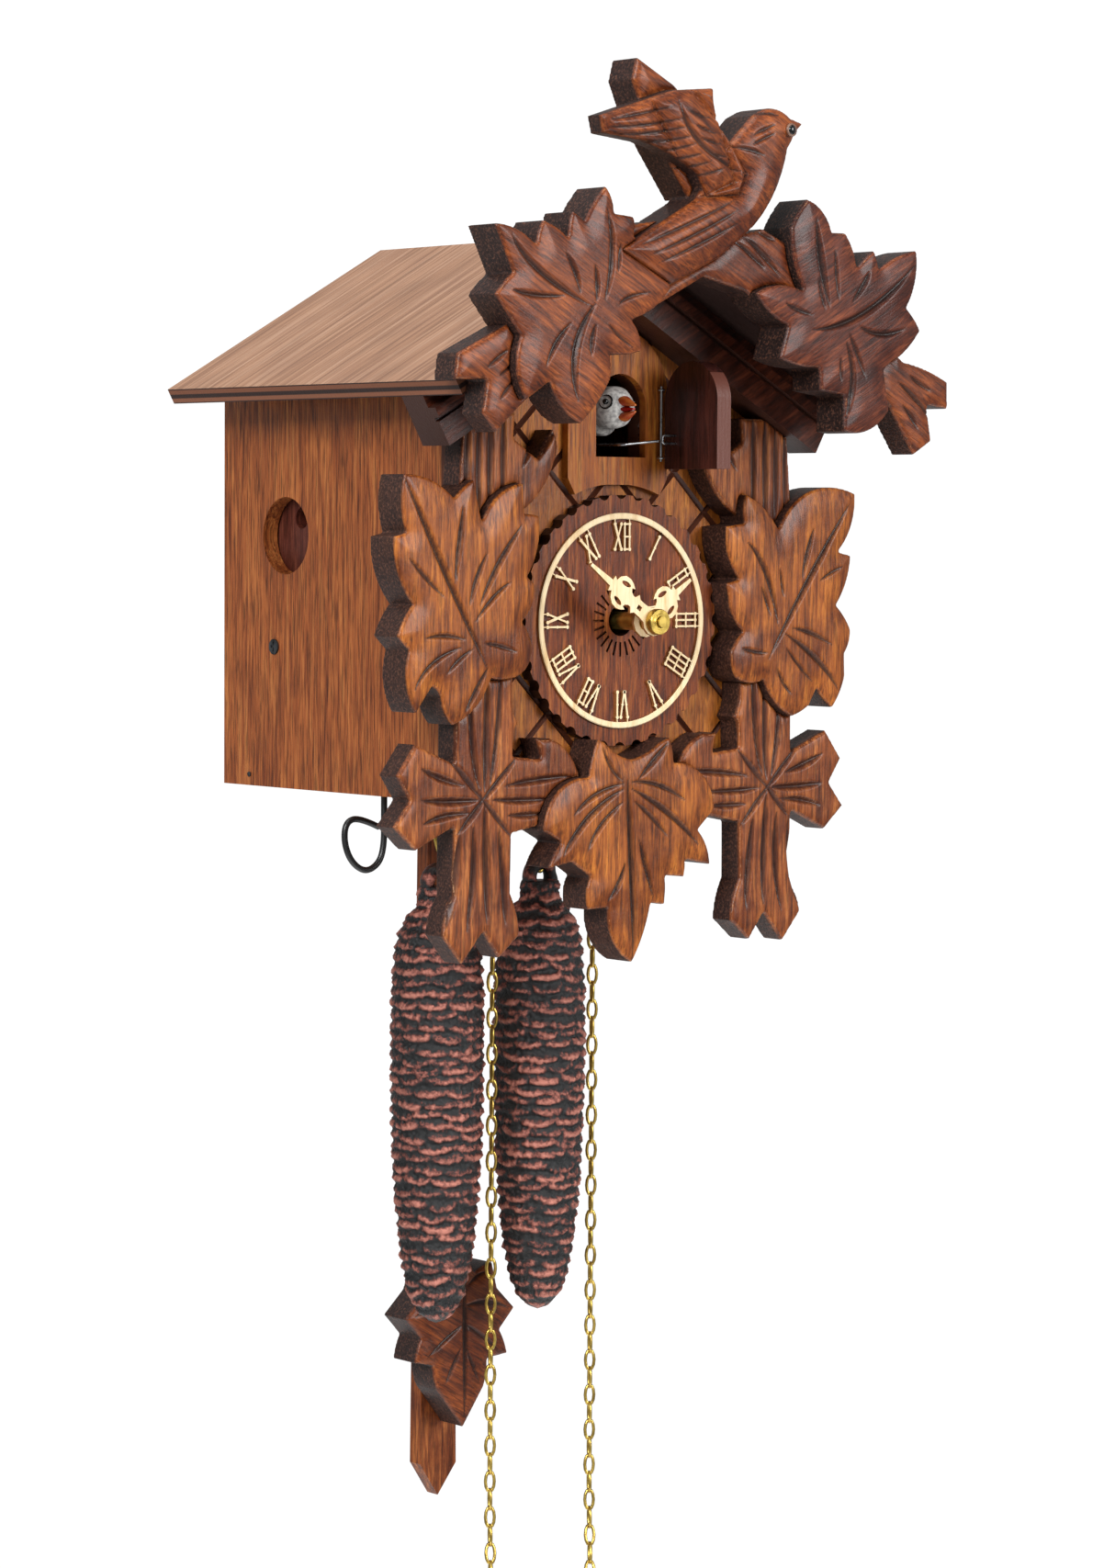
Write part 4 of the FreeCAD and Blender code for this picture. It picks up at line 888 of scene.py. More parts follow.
def hand_plate(name, tip, shoulder, y, angle, collar):
    """A fretted hand: a 2-D curve with its holes, given a thickness and a soft edge. Its blade
    runs from the tip to the shoulder, with a spur and an open lobe on each side below it."""
    data = bpy.data.curves.new(name, "CURVE")
    data.dimensions = "2D"
    data.fill_mode = "BOTH"
    data.extrude = 0.4 * MM
    data.bevel_depth = 0.1 * MM
    data.bevel_resolution = 1
    data.resolution_u = 6
    half = [(0.4, tip), (0.9, shoulder), (2.3, shoulder - 0.2), (1.6, shoulder - 1.2),
            (3.3, shoulder - 1.9), (4.5, shoulder - 3.4), (4.7, shoulder - 5.2),
            (4.2, shoulder - 6.7), (3.4, shoulder - 7.9), (3.0, shoulder - 6.9),
            (2.1, shoulder - 7.4), (1.5, shoulder - 8.4)]
    if shoulder > 16.0:
        half += [(1.5, shoulder - 9.4), (2.9, shoulder - 10.3), (2.0, shoulder - 11.3),
                 (2.0, shoulder - 13.6)]
    foot = [(collar * math.sin(a), collar * math.cos(a))
            for a in [math.radians(d) for d in (35, 60, 90, 120, 150)]]
    outer = half + foot + [(0.0, -collar)] + [(-x, z) for x, z in reversed(half + foot)]
    loops = [(outer, "VECTOR")]
    for side in (-1, 1):
        loops.append(([(side * 2.75 + 0.75 * math.cos(a) - side * 0.25 * math.sin(a),
                        shoulder - 4.6 + 1.75 * math.sin(a))
                       for a in [math.pi * i / 6 for i in range(12)]], "AUTO"))
    if shoulder > 16.0:
        loops.append(([(-0.75, 5.8), (0.75, 5.8), (0.75, 7.5), (-0.75, 7.5)], "VECTOR"))
    for loop, handles in loops:
        spline = data.splines.new("BEZIER")
        spline.bezier_points.add(len(loop) - 1)
        for point, (x, z) in zip(spline.bezier_points, loop):
            point.co = (x * MM, z * MM, 0)
            point.handle_left_type = point.handle_right_type = handles
        spline.use_cyclic_u = True
    item = bpy.data.objects.new(name, data)
    bpy.context.scene.collection.objects.link(item)
    select_only(item)
    bpy.ops.object.convert(target="MESH")
    item = bpy.context.object
    stand = Matrix.Rotation(math.radians(angle), 4, "Y") @ Matrix.Rotation(math.pi / 2, 4, "X")
    item.matrix_world = Matrix.Translation((DIAL.x, y * MM, DIAL.z)) @ stand
    settle(item)
    return item


class CLOCK_OT_hands(bpy.types.Operator):
    """Fret the two hands and turn the brass nut"""
    bl_idname = "clock.hands"
    bl_label = "Hands"

    def execute(self, context):
        for node, tip, shoulder, angle, collar in (("hour_hand", 20.0, 13.8, 55.0, 4.3),
                                                   ("minute_hand", 27.6, 18.9, 305.0, 3.9)):
            low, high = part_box(node)
            y = (low.y + high.y) / 2 / MM
            blade = smooth(hand_plate("fretted_" + node, tip, shoulder, y, angle, collar), 30)
            finish_piece(blade, node, "pale_wood", FINISHES["cream"], node)
        self.nut()
        return {"FINISHED"}

    def nut(self):
        """A knurled disc with a stepped face, and the threaded arbor that shows in it."""
        low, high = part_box("hand_nut")
        back, front = high.y / MM, low.y / MM
        profile = ((3.3, back), (3.6, back - 0.3), (3.6, front + 0.5), (3.35, front + 0.25),
                   (2.3, front + 0.25), (2.15, front), (1.7, front), (1.55, front + 0.4),
                   (1.55, back))
        teeth = 72
        points, faces = [], []
        for i in range(teeth):
            a = 2 * math.pi * i / teeth
            for radius, y in profile:
                knurl = 0.12 * (i % 2) if radius > 3.5 else 0.0
                points.append(((radius - knurl) * math.sin(a) * MM, y * MM,
                               DIAL.z + (radius - knurl) * math.cos(a) * MM))
        n = len(profile)
        for i in range(teeth):
            for j in range(n):
                nxt = ((i + 1) % teeth) * n
                faces.append((i * n + j, i * n + (j + 1) % n, nxt + (j + 1) % n, nxt + j))
        nut = new_mesh("knurled_hand_nut", points, faces)
        select_only(nut)
        bpy.ops.object.mode_set(mode="EDIT")
        bpy.ops.mesh.select_all(action="SELECT")
        bpy.ops.mesh.normals_make_consistent(inside=False)
        bpy.ops.object.mode_set(mode="OBJECT")
        smooth(nut, 40)
        finish_piece(nut, "minute_hand", "brass", FINISHES["brass"], "hand_nut")
        bpy.ops.object.select_all(action="DESELECT")
        bpy.ops.mesh.primitive_cylinder_add(vertices=32, radius=1.45 * MM, depth=1.2 * MM,
                                            location=(0, (front - 0.1) * MM, DIAL.z),
                                            rotation=(math.pi / 2, 0, 0))
        stud = settle(bpy.context.object)
        stud.name = "arbor_end"
        apply_modifier(stud, "BEVEL", width=0.35 * MM, segments=3, limit_method="ANGLE")
        smooth(stud, 40)
        finish_piece(stud, "minute_hand", "steel", FINISHES["steel"])


# ---- cuckoo --------------------------------------------------------------
class CLOCK_OT_cuckoo(bpy.types.Operator):
    """Model the painted bird with its open beak"""
    bl_idname = "clock.cuckoo"
    bl_label = "Cuckoo"

    def execute(self, context):
        head_at = Vector((2.0, -105.4, -24.6)) * MM
        bpy.ops.object.select_all(action="DESELECT")
        bpy.ops.mesh.primitive_uv_sphere_add(segments=48, ring_count=32, radius=6.2 * MM,
                                             location=head_at)
        head = settle(bpy.context.object)
        for vertex in head.data.vertices:
            rel = vertex.co - head_at
            lump = noise.noise(vertex.co * 260.0) * 0.45 * MM
            vertex.co += rel.normalized() * (lump - 0.25 * MM)
            if rel.y > 0:
                vertex.co.y += rel.y * 1.6
        bpy.ops.object.select_all(action="DESELECT")
        bpy.ops.mesh.primitive_cone_add(vertices=48, radius1=4.6 * MM, radius2=5.2 * MM,
                                        depth=20.0 * MM, rotation=(math.pi / 2, 0, 0),
                                        location=(2.0 * MM, -92.0 * MM, -27.4 * MM))
        neck = settle(bpy.context.object)
        apply_modifier(neck, "BEVEL", width=1.0 * MM, segments=3, limit_method="ANGLE")
        bird = smooth(join([head, neck], "painted_cuckoo"), 50)
        finish_piece(bird, "cuckoo", "cuckoo_paint", FINISHES["white"], "cuckoo_body")
        halves = []
        for z, tilt, size in ((-23.6, 12.0, 2.3), (-26.6, -16.0, 2.0)):
            bpy.ops.object.select_all(action="DESELECT")
            bpy.ops.mesh.primitive_cone_add(vertices=24, radius1=size * MM, radius2=0.35 * MM,
                                            depth=5.2 * MM, location=(2.0 * MM, -112.6 * MM, z * MM),
                                            rotation=(math.pi / 2 + math.radians(tilt), 0, 0))
            half = bpy.context.object
            half.scale = (1.1, 0.72, 1.0)
            settle(half)
            apply_modifier(half, "BEVEL", width=0.3 * MM, segments=2, limit_method="ANGLE")
            halves.append(half)
        beak = smooth(join(halves, "painted_beak"), 50)
        finish_piece(beak, "cuckoo", "beak_paint", FINISHES["orange"], "cuckoo_beak")
        bpy.ops.object.select_all(action="DESELECT")
        bpy.ops.mesh.primitive_cone_add(vertices=20, radius1=1.7 * MM, radius2=0.5 * MM, depth=3.6 * MM,
                                        location=(2.0 * MM, -112.6 * MM, -25.2 * MM),
                                        rotation=(math.pi / 2, 0, 0))
        tongue = bpy.context.object
        tongue.scale = (1.15, 0.5, 1.0)
        tongue = smooth(join([tongue], "painted_mouth"), 50)
        finish_piece(tongue, "cuckoo", "beak_paint", FINISHES["red"])
        self.eyes(head_at)
        return {"FINISHED"}

    def eyes(self, head_at):
        """A painted dot inside a curl on each cheek."""
        marks = []
        for side in (-1, 1):
            out = Vector((side * 0.86, -0.46, 0.25)).normalized()
            data = bpy.data.curves.new("curl", "CURVE")
            data.dimensions = "3D"
            data.bevel_depth = 0.22 * MM
            data.bevel_resolution = 2
            up = Vector((0, 0, 1))
            across = out.cross(up).normalized()
            lift = across.cross(out).normalized()
            spline = data.splines.new("POLY")
            spline.points.add(17)
            for i, point in enumerate(spline.points):
                a = math.radians(60 + 17 * i)
                r = 2.0 * MM
                off = across * (math.cos(a) * r) + lift * (math.sin(a) * r)
                place = head_at + (out * 6.0 * MM + off).normalized() * 6.05 * MM
                point.co = (*place, 1)
                point.radius = 0.5 + 0.8 * math.sin(math.pi * i / 17)
            curl = bpy.data.objects.new("curl", data)
            bpy.context.scene.collection.objects.link(curl)
            select_only(curl)
            bpy.ops.object.convert(target="MESH")
            marks.append(bpy.context.object)
            bpy.ops.object.select_all(action="DESELECT")
            bpy.ops.mesh.primitive_uv_sphere_add(segments=16, ring_count=10, radius=0.85 * MM,
                                                 location=head_at + out * 5.9 * MM)
            marks.append(settle(bpy.context.object))
        piece = smooth(join(marks, "painted_cuckoo_eyes"), 60)
        finish_piece(piece, "cuckoo", "bird_eye_glass", FINISHES["eye"])


# ---- fixings -------------------------------------------------------------
class CLOCK_OT_fixings(bpy.types.Operator):
    """Drive the screws and nails"""
    bl_idname = "clock.fixings"
    bl_label = "Screws"

    def execute(self, context):
        parts = []
        for side in (-1, 1):
            parts.append(self.head(Vector((side * 56.45, -25.0, -92.7)), "X", side, 2.2, True))
            parts.append(self.head(Vector((side * 56.45, -12.9, -129.8)), "X", side, 0.7, False))
            for z in (-20.0, -122.0):
                parts.append(self.head(Vector((side * 44.0, -0.45, z)), "Y", 1, 2.2, True))
        piece = smooth(join(parts, "screw_and_nail_heads"), 30)
        finish_piece(piece, "case", "steel", FINISHES["screw"], "case_screws")
        return {"FINISHED"}

    def head(self, at, axis, way, radius, crossed):
        """A low round head; a screw's has its cross recess pressed in."""
        bpy.ops.object.select_all(action="DESELECT")
        turn = (0, math.pi / 2, 0) if axis == "X" else (math.pi / 2, 0, 0)
        bpy.ops.mesh.primitive_cylinder_add(vertices=32, radius=radius * MM, depth=0.6 * MM,
                                            location=at * MM, rotation=turn)
        item = settle(bpy.context.object)
        if crossed:
            for spin in (0, math.pi / 2):
                bpy.ops.object.select_all(action="DESELECT")
                bpy.ops.mesh.primitive_cube_add(size=MM)
                bar = bpy.context.object
                bar.scale = (0.5, 0.75, radius * 1.2) if axis == "X" else (0.75, 0.5, radius * 1.2)
                bar.rotation_euler = (spin, 0, 0) if axis == "X" else (0, spin, 0)
                bar.location = (at + Vector((way * 0.25 if axis == "X" else 0, 0.25 if axis == "Y" else 0,
                                             0))) * MM
                settle(bar)
                apply_modifier(item, "BOOLEAN", object=bar, operation="DIFFERENCE", solver="EXACT")
                bpy.data.objects.remove(bar)
        return item


class CLOCK_OT_silencer(bpy.types.Operator):
    """Bend the wire that silences the strike"""
    bl_idname = "clock.silencer"
    bl_label = "Silencer wire"

    def execute(self, context):
        low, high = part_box("silencer_wire")
        x, y, top = (high.x / MM - 0.9), (low.y + high.y) / 2 / MM, high.z / MM
        eye = ((0, -110), (0, -140), (0, -147.5), (-1.6, -152.4), (-6.4, -154.8), (-11.4, -151.8),
               (-14.0, -146.0), (-13.4, -140.4), (-8.8, -139.2), (-1.9, -142.2))
        bent = wire("silencer_wire_bent", [(x, y, top)] + [(x + dx, y, z) for dx, z in eye], 0.9, sides=4)
        finish_piece(bent, "silencer", "black_wire", FINISHES["black"], "silencer_wire")
        return {"FINISHED"}


# ---- weights -------------------------------------------------------------
CONE_PROFILE = ((-165.0, 5.6), (-169.0, 8.6), (-174.0, 11.2), (-180.0, 12.4), (-190.0, 13.0),
                (-205.0, 13.2), (-222.0, 13.1), (-240.0, 12.5), (-255.0, 11.4), (-268.0, 9.9),
                (-277.0, 8.2), (-282.5, 5.6), (-285.0, 2.6), (-286.0, 0.0))
CONE_ROW = 3.2           # height of one row of scales
SCALE_WIDTH = 9.6        # a scale's width round the cone


def ridge_pattern(angle, z, seed):
    """Height, 0 to 1, of the overlapping scales at each angle and height of a cone."""
    chance = np.random.default_rng(seed)
    height = np.zeros_like(z)
    top, bottom = CONE_PROFILE[0][0] + 3.0, CONE_PROFILE[-1][0]
    k = 0
    row = top
    while row > bottom:
        count = max(4, int(round(2 * math.pi * max(cone_radius(row), 4.0) / SCALE_WIDTH)))
        offset = (k % 2) * 0.5 + chance.uniform(-0.16, 0.16)
        tilt, roll = chance.uniform(-0.5, 0.5, 2), chance.uniform(0, 2 * math.pi, 2)
        spot = angle / (2 * math.pi) * count + offset
        own = np.floor(spot).astype(int) % count
        strength = chance.uniform(0.62, 1.0, count)[own]
        shift = chance.uniform(-0.6, 0.6, count)[own]
        u = 2 * (spot - np.floor(spot)) - 1
        sway = tilt[0] * np.sin(angle * 2 + roll[0]) + tilt[1] * np.sin(angle * 5 + roll[1])
        gap = (z - row - shift - sway - 0.85 * np.abs(u) ** 1.7 + 0.35) / CONE_ROW
        shape = np.where(gap > 0, np.exp(-(gap / 0.50) ** 2), np.exp(-(gap / 0.30) ** 2))
        height = np.maximum(height, shape * strength * (1 - 0.5 * np.abs(u) ** 5))
        row -= CONE_ROW * chance.uniform(0.9, 1.1)
        k += 1
    return height


def cone_radius(z):
    """Mean radius of the cone at a height, through the profile's points."""
    heights = [p[0] for p in reversed(CONE_PROFILE)]
    radii = [p[1] for p in reversed(CONE_PROFILE)]
    return float(np.interp(z, heights, radii))


def pine_cone(name, x, y, seed, seam):
    """A long cast cone wrapped in overlapping scales, with its casting seam and ear."""
    ridge = bpy.context.scene.clock_sizes.cone_ridge / MM
    around, rows = 190, 400
    top, bottom = -160.5, CONE_PROFILE[-1][0]
    angles = np.tile(np.arange(around) * 2 * math.pi / around - math.pi, rows + 1)
    heights = np.repeat(np.linspace(top, bottom, rows + 1), around)
    mean = np.interp(heights, [p[0] for p in reversed(CONE_PROFILE)],
                     [p[1] for p in reversed(CONE_PROFILE)])
    scales = ridge_pattern(angles, heights, seed)
    for line in (seam, seam + math.pi):
        off = np.abs((angles - line + math.pi) % (2 * math.pi) - math.pi) * mean
        scales = np.maximum(scales, 0.4 * np.exp(-(off / 0.35) ** 2))
    skin = [Vector((m * math.cos(a), m * math.sin(a), z)) for a, z, m in zip(angles, heights, mean)]
    away = Vector((seed * 9.0, 0, 0))
    rough = np.array([noise.noise(at * 0.9 + away) + 0.7 * noise.noise(at * 2.3 + away) for at in skin])
    radius = np.maximum(mean + ridge * (scales - 0.5 + 0.3 * rough) * np.minimum(1, mean / 6), 0.01)
    place = np.stack([x + radius * np.cos(angles), y + radius * np.sin(angles), heights], axis=1) * MM
    faces = []
    for j in range(rows):
        for i in range(around):
            a, b = j * around + i, j * around + (i + 1) % around
            faces.append((a, a + around, b + around, b))
    faces.append(tuple(range(around)))
    faces.append(tuple(rows * around + i for i in reversed(range(around))))
    cone = new_mesh(name, place.tolist(), faces)
    layer = cone.data.attributes.new("ridge", "FLOAT", "POINT")
    layer.data.foreach_set("value", np.clip(scales + 0.25 * rough, 0, 1).astype(np.float32))
    bpy.ops.object.select_all(action="DESELECT")
    bpy.ops.mesh.primitive_torus_add(major_segments=64, minor_segments=24, major_radius=4.1 * MM,
                                     minor_radius=1.9 * MM, location=(x * MM, y * MM, -159.6 * MM),
                                     rotation=(math.pi / 2, 0, 0))
    ear = settle(bpy.context.object)
    wobble = []
    for vertex in ear.data.vertices:
        lump = noise.noise(vertex.co * 300.0 + Vector((seed, 0, 0)))
        vertex.co.x = x * MM + (vertex.co.x - x * MM) * (0.95 + 0.1 * lump)
        vertex.co.y = y * MM + (vertex.co.y - y * MM) * (1.3 + 0.3 * lump)
        wobble.append(max(0.0, min(1.0, 0.42 + 0.7 * lump)))
    layer = ear.data.attributes.new("ridge", "FLOAT", "POINT")
    layer.data.foreach_set("value", wobble)
    piece = join([cone, ear], name)
    face_outwards(piece)
    bpy.ops.object.shade_smooth()
    return piece


def wire(name, points, radius, sides=3, spline_kind="NURBS"):
    """A round wire along smooth points, made a mesh with closed ends."""
    data = bpy.data.curves.new(name, "CURVE")
    data.dimensions = "3D"
    data.bevel_depth = radius * MM
    data.bevel_resolution = sides
    data.use_fill_caps = True
    spline = data.splines.new(spline_kind)
    spline.points.add(len(points) - 1)
    for point, place in zip(spline.points, points):
        point.co = (*(Vector(place) * MM), 1)
    if spline_kind == "NURBS":
        spline.order_u = 3
        spline.use_endpoint_u = True
    item = bpy.data.objects.new(name, data)
    bpy.context.scene.collection.objects.link(item)
    select_only(item)
    bpy.ops.object.convert(target="MESH")
    return smooth(bpy.context.object, 50)


class CLOCK_OT_weights(bpy.types.Operator):
    """Cast the pine-cone weights with their hooks"""
    bl_idname = "clock.weights"
    bl_label = "Weights"

    def execute(self, context):
        for seed, side, seam in ((1, "left", -98.0), (2, "right", 161.0)):
            low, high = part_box("weight_chain_" + side)
            x, y = (low.x + high.x) / 2 / MM, (low.y + high.y) / 2 / MM
            cone = pine_cone("pine_cone_" + side, x, y, seed, math.radians(seam))
            finish_piece(cone, "weight_" + side, "cone_copper", FINISHES["cone"], "weight_" + side)
            hook = wire("weight_hook_" + side, [
                (x - 2.2, y, -156.0), (x - 0.6, y, -158.4), (x + 1.4, y, -157.0), (x + 1.4, y, -153.0),
                (x - 0.4, y, -149.0), (x - 1.6, y, -144.5), (x - 0.8, y, -140.6), (x + 1.8, y, -140.4),
                (x + 2.4, y, -143.0)], 0.6)
            finish_piece(hook, "weight_" + side, "brass", FINISHES["brass"])
        return {"FINISHED"}


# ---- chains --------------------------------------------------------------
def line_of(points):
    """Points read from the NURBS line through a route's control points."""
    data = bpy.data.curves.new("route", "CURVE")
    data.dimensions = "3D"
    data.resolution_u = 16
    spline = data.splines.new("NURBS")
    spline.points.add(len(points) - 1)
    for point, place in zip(spline.points, points):
        point.co = (*(Vector(place) * MM), 1)
    spline.order_u = 3
    spline.use_endpoint_u = True
    item = bpy.data.objects.new("route", data)
    bpy.context.scene.collection.objects.link(item)
    bpy.context.view_layer.update()
    mesh = bpy.data.meshes.new_from_object(item)
    line = []
    for vertex in mesh.vertices:
        if not line or (vertex.co - line[-1]).length > 0.2 * MM:
            line.append(vertex.co.copy())
    bpy.data.meshes.remove(mesh)
    bpy.data.objects.remove(item)
    return line


def stepped(line, pitch):
    """Places a pitch apart along a line, each with its direction."""
    out = []
    need = pitch / 2
    for a, b in zip(line, line[1:]):
        run = (b - a).length
        if run == 0:
            continue
        while need <= run:
            out.append((a.lerp(b, need / run), (b - a) / run))
            need += pitch
        need -= run
    return out


def chain(name, line):
    """Oval links along a line, each turned a quarter from the last."""
    around, sides = 12, 5
    half_long, half_wide = 3.45 * MM - LINK_WIRE, 1.8 * MM - LINK_WIRE
    points, faces = [], []
    level = Vector((0.46, 0.89, 0.0)).normalized()
    for k, (place, way) in enumerate(stepped(line, LINK_PITCH)):
        sideways = level - way * level.dot(way)
        sideways.normalize()
        level = sideways
        other = way.cross(sideways)
        u, v = (sideways, other) if k % 2 else (other, -sideways)
        base = len(points)
        for i in range(around):
            a = 2 * math.pi * i / around
            centre = way * (half_long * math.cos(a)) + u * (half_wide * math.sin(a))
            out = (way * (half_wide * math.cos(a)) + u * (half_long * math.sin(a))).normalized()
            for j in range(sides):
                b = 2 * math.pi * j / sides
                points.append(place + centre + out * LINK_WIRE * math.cos(b) + v * LINK_WIRE * math.sin(b))
        for i in range(around):
            for j in range(sides):
                a, b = base + i * sides + j, base + i * sides + (j + 1) % sides
                c, d = (base + ((i + 1) % around) * sides + (j + 1) % sides,
                        base + ((i + 1) % around) * sides + j)
                faces.append((a, d, c, b))
    item = new_mesh(name, points, faces)
    return smooth(item, 80)


def hank_route(x, y, top, low):
    """The put-away turns: down one side, round the foot, up and over, moving back each turn."""
    half = 10.8
    pitch = 3.66
    turns = bpy.context.scene.clock_sizes.hank_turns
    middle, run = (top + low) / 2, (top - low) / 2 - half - 1.8
    first = y - 13.2
    lap = ([(-half, run * s) for s in (0.6, 0.0, -0.6)]
           + [(-half * math.cos(a), -run - half * math.sin(a)) for a in
              [math.pi * s / 4 for s in (0, 1, 2, 3, 4)]]
           + [(half, run * s) for s in (-0.6, 0.0, 0.6)]
           + [(half * math.cos(a), run + half * math.sin(a)) for a in
              [math.pi * s / 4 for s in (0, 1, 2, 3, 4)]])
    count = turns * len(lap) + 3
    return [(x + lap[i % len(lap)][0], first + pitch * i / len(lap), middle + lap[i % len(lap)][1])
            for i in range(count)]


class CLOCK_OT_chains(bpy.types.Operator):
    """Link up the chains, their hanks and end rings"""
    bl_idname = "clock.chains"
    bl_label = "Chains"

    def execute(self, context):
        for side in ("left", "right"):
            low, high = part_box("weight_chain_" + side)
            x, y = (low.x + high.x) / 2 / MM, (low.y + high.y) / 2 / MM
            taut = line_of([(x, y, low.z / MM), (x, y, high.z / MM)])
            piece = chain("weight_chain_links_" + side, taut)
            finish_piece(piece, "weight_" + side, "brass", FINISHES["brass"], "weight_chain_" + side)
            self.free_end(side)
        return {"FINISHED"}

    def free_end(self, side):
        tube_low, tube_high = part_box("free_chain_" + side)
        hank_low, hank_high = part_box("chain_hank_" + side)
        x, y = (tube_low.x + tube_high.x) / 2 / MM, (tube_low.y + tube_high.y) / 2 / MM
        top = tube_high.z / MM
        turns = hank_route(x, y, hank_high.z / MM, hank_low.z / MM)
        drop = [(x, y, top), (x, y, top - 60), (x, y, top - 120), (x, y, top - 180),
                (x, y, -345), (x - 1.5, y - 2.5, -360), (x - 7, y - 9, -374), (x - 10.3, y - 12.8, -388)]
        tail = [(x - 10, y + 10.5, -438), (x - 6.5, y + 6, -447), (x - 2.5, y + 2, -450.5), (x, y, -451)]
        line = line_of(drop + turns + tail)
        piece = chain("free_chain_links_" + side, line)
        body = "free_chain_" + side
        ring = self.ring(side, body)
        tie = wire("hank_tie_" + side, [
            (x - 10.8 + 2.9 * math.cos(a) * (1 + 0.02 * i), y + 15.4 * math.sin(a), -409 - 0.09 * i)
            for i, a in enumerate(math.radians(30 * k) for k in range(15))], 0.35)
        finish_piece(tie, body, "black_wire", FINISHES["black"])
        finish_piece(piece, body, "brass", FINISHES["brass"], "free_chain_" + side, "chain_hank_" + side)

    def ring(self, side, body):
        low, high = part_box("chain_ring_" + side)
        middle = (low + high) / 2
        bpy.ops.object.select_all(action="DESELECT")
        bpy.ops.mesh.primitive_torus_add(major_segments=48, minor_segments=12, major_radius=5.0 * MM,
                                         minor_radius=0.7 * MM, location=middle,
                                         rotation=(math.pi / 2, 0, 0))
        ring = smooth(join([bpy.context.object], "chain_end_ring_" + side), 60)
        return finish_piece(ring, body, "brass", FINISHES["brass"], "chain_ring_" + side)


# ---- pendulum ------------------------------------------------------------
class CLOCK_OT_pendulum(bpy.types.Operator):
    """Carve the pendulum's leaf"""
    bl_idname = "clock.pendulum"
    bl_label = "Pendulum leaf"

    def execute(self, context):
        leaf = carve("pendulum_leaf", "carved_pendulum_leaf", PENDULUM_CUTS, 1.2, reach=5.0)
        finish_piece(leaf, "pendulum", "crown_wood", FINISHES["crown"], "pendulum_leaf")
        return {"FINISHED"}


# ---- stage ---------------------------------------------------------------
EYE_POINT = Vector((-0.78002, -1.03363, -0.05734))
HEADING, DIP, ROLL = math.radians(39.41), math.radians(-3.43), math.radians(0.34)
LENS = 99.41
ROOM_LIGHT = 0.5         # how brightly the white room lights the clock
SOFTBOXES = (("left_softbox", (-1.6, -0.9, 0.75), 0.7, 34.0),
             ("right_softbox", (0.7, -1.9, 0.45), 0.9, 30.0),
             ("top_softbox", (-0.3, -0.3, 1.5), 0.9, 12.0))


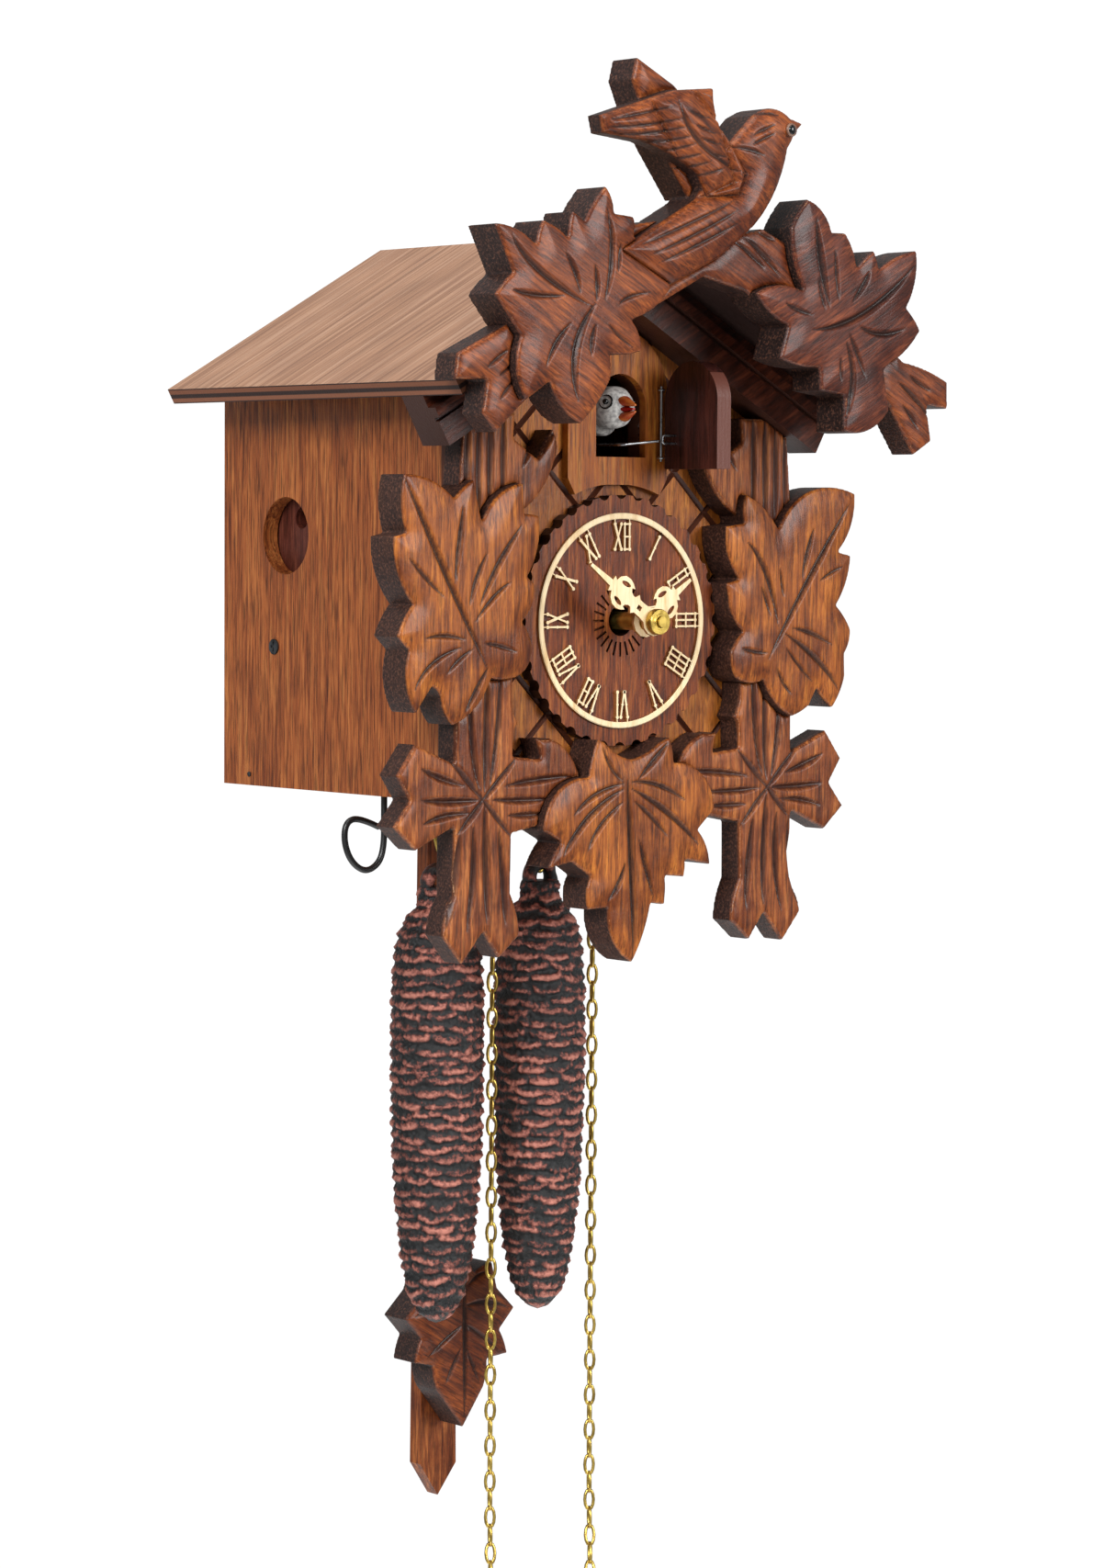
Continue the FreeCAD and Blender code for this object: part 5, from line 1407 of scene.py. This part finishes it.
class CLOCK_OT_stage(bpy.types.Operator):
    """Set up the pale room, the studio light and the camera"""
    bl_idname = "clock.stage"
    bl_label = "Stage"

    def execute(self, context):
        self.camera()
        self.room()
        self.lights()
        context.scene.view_settings.view_transform = "Standard"
        return {"FINISHED"}

    def camera(self):
        look = Vector((math.sin(HEADING) * math.cos(DIP), math.cos(HEADING) * math.cos(DIP),
                       math.sin(DIP)))
        right = Vector((math.cos(HEADING), -math.sin(HEADING), 0.0))
        up = right.cross(look)
        tilted_right = right * math.cos(ROLL) + up * math.sin(ROLL)
        tilted_up = up * math.cos(ROLL) - right * math.sin(ROLL)
        data = bpy.data.cameras.new("studio_camera")
        data.lens = LENS
        data.sensor_width = 36.0
        data.clip_start = 0.01
        data.clip_end = 50.0
        camera = bpy.data.objects.new("studio_camera", data)
        axes = Matrix((tilted_right, tilted_up, -look)).transposed().to_4x4()
        camera.matrix_world = Matrix.Translation(EYE_POINT) @ axes
        bpy.context.scene.collection.objects.link(camera)
        bpy.context.scene.camera = camera

    def room(self):
        material, shader = blank("pale_floor")
        shader.inputs["Base Color"].default_value = linear("#F7F7F7")
        shader.inputs["Roughness"].default_value = 0.9
        shader.inputs["Emission Color"].default_value = (1.0, 1.0, 1.0, 1.0)
        shader.inputs["Emission Strength"].default_value = 0.8
        bpy.ops.object.select_all(action="DESELECT")
        bpy.ops.mesh.primitive_circle_add(vertices=96, radius=1.6, fill_type="NGON",
                                          location=(0, 0, -1.6))
        floor = settle(bpy.context.object)
        floor.name = "floor"
        floor.data.materials.append(material)

    def lights(self):
        """A white room that lights the clock less than it shows, and three softboxes."""
        world = bpy.data.worlds.new("soft_room")
        world.use_nodes = True
        tree = world.node_tree
        seen = tree.nodes["Background"]
        seen.inputs["Color"].default_value = (1.0, 1.0, 1.0, 1.0)
        seen.inputs["Strength"].default_value = 1.05
        dim = tree.nodes.new("ShaderNodeBackground")
        dim.inputs["Strength"].default_value = ROOM_LIGHT
        rays = tree.nodes.new("ShaderNodeLightPath")
        both = tree.nodes.new("ShaderNodeMixShader")
        tree.links.new(rays.outputs["Is Camera Ray"], both.inputs[0])
        tree.links.new(dim.outputs[0], both.inputs[1])
        tree.links.new(seen.outputs[0], both.inputs[2])
        tree.links.new(both.outputs[0], tree.nodes["World Output"].inputs["Surface"])
        bpy.context.scene.world = world
        centre = Vector((0.0, -0.1, -0.12))
        for name, place, size, power in SOFTBOXES:
            data = bpy.data.lights.new(name, "AREA")
            data.size = size
            data.energy = power
            lamp = bpy.data.objects.new(name, data)
            lamp.location = place
            lamp.rotation_euler = (centre - Vector(place)).to_track_quat("-Z", "Y").to_euler()
            bpy.context.scene.collection.objects.link(lamp)


OPERATORS = (CLOCK_OT_stage, CLOCK_OT_finishes, CLOCK_OT_chains, CLOCK_OT_leaves, CLOCK_OT_posts,
             CLOCK_OT_crown, CLOCK_OT_dial, CLOCK_OT_hands, CLOCK_OT_cuckoo, CLOCK_OT_fixings,
             CLOCK_OT_silencer, CLOCK_OT_weights, CLOCK_OT_pendulum)


class CLOCK_PT_pieces(bpy.types.Panel):
    """The clock's pieces, in the order they are made"""
    bl_idname = "CLOCK_PT_pieces"
    bl_label = "Cuckoo clock"
    bl_space_type = "VIEW_3D"
    bl_region_type = "UI"
    bl_category = "Clock"

    def draw(self, context):
        for operator in OPERATORS:
            self.layout.operator(operator.bl_idname)


CLASSES = (ClockSizes, ClockColours) + OPERATORS + (CLOCK_PT_pieces,)


def register():
    for item in CLASSES:
        bpy.utils.register_class(item)
    bpy.types.Scene.clock_sizes = bpy.props.PointerProperty(type=ClockSizes)
    bpy.types.Scene.clock_colours = bpy.props.PointerProperty(type=ClockColours)


def unregister():
    del bpy.types.Scene.clock_colours
    del bpy.types.Scene.clock_sizes
    for item in reversed(CLASSES):
        bpy.utils.unregister_class(item)


def main():
    register()
    for operator in OPERATORS:
        group, name = operator.bl_idname.split(".")
        getattr(getattr(bpy.ops, group), name)()
    bpy.context.view_layer.update()


if __name__ == "__main__":
    main()
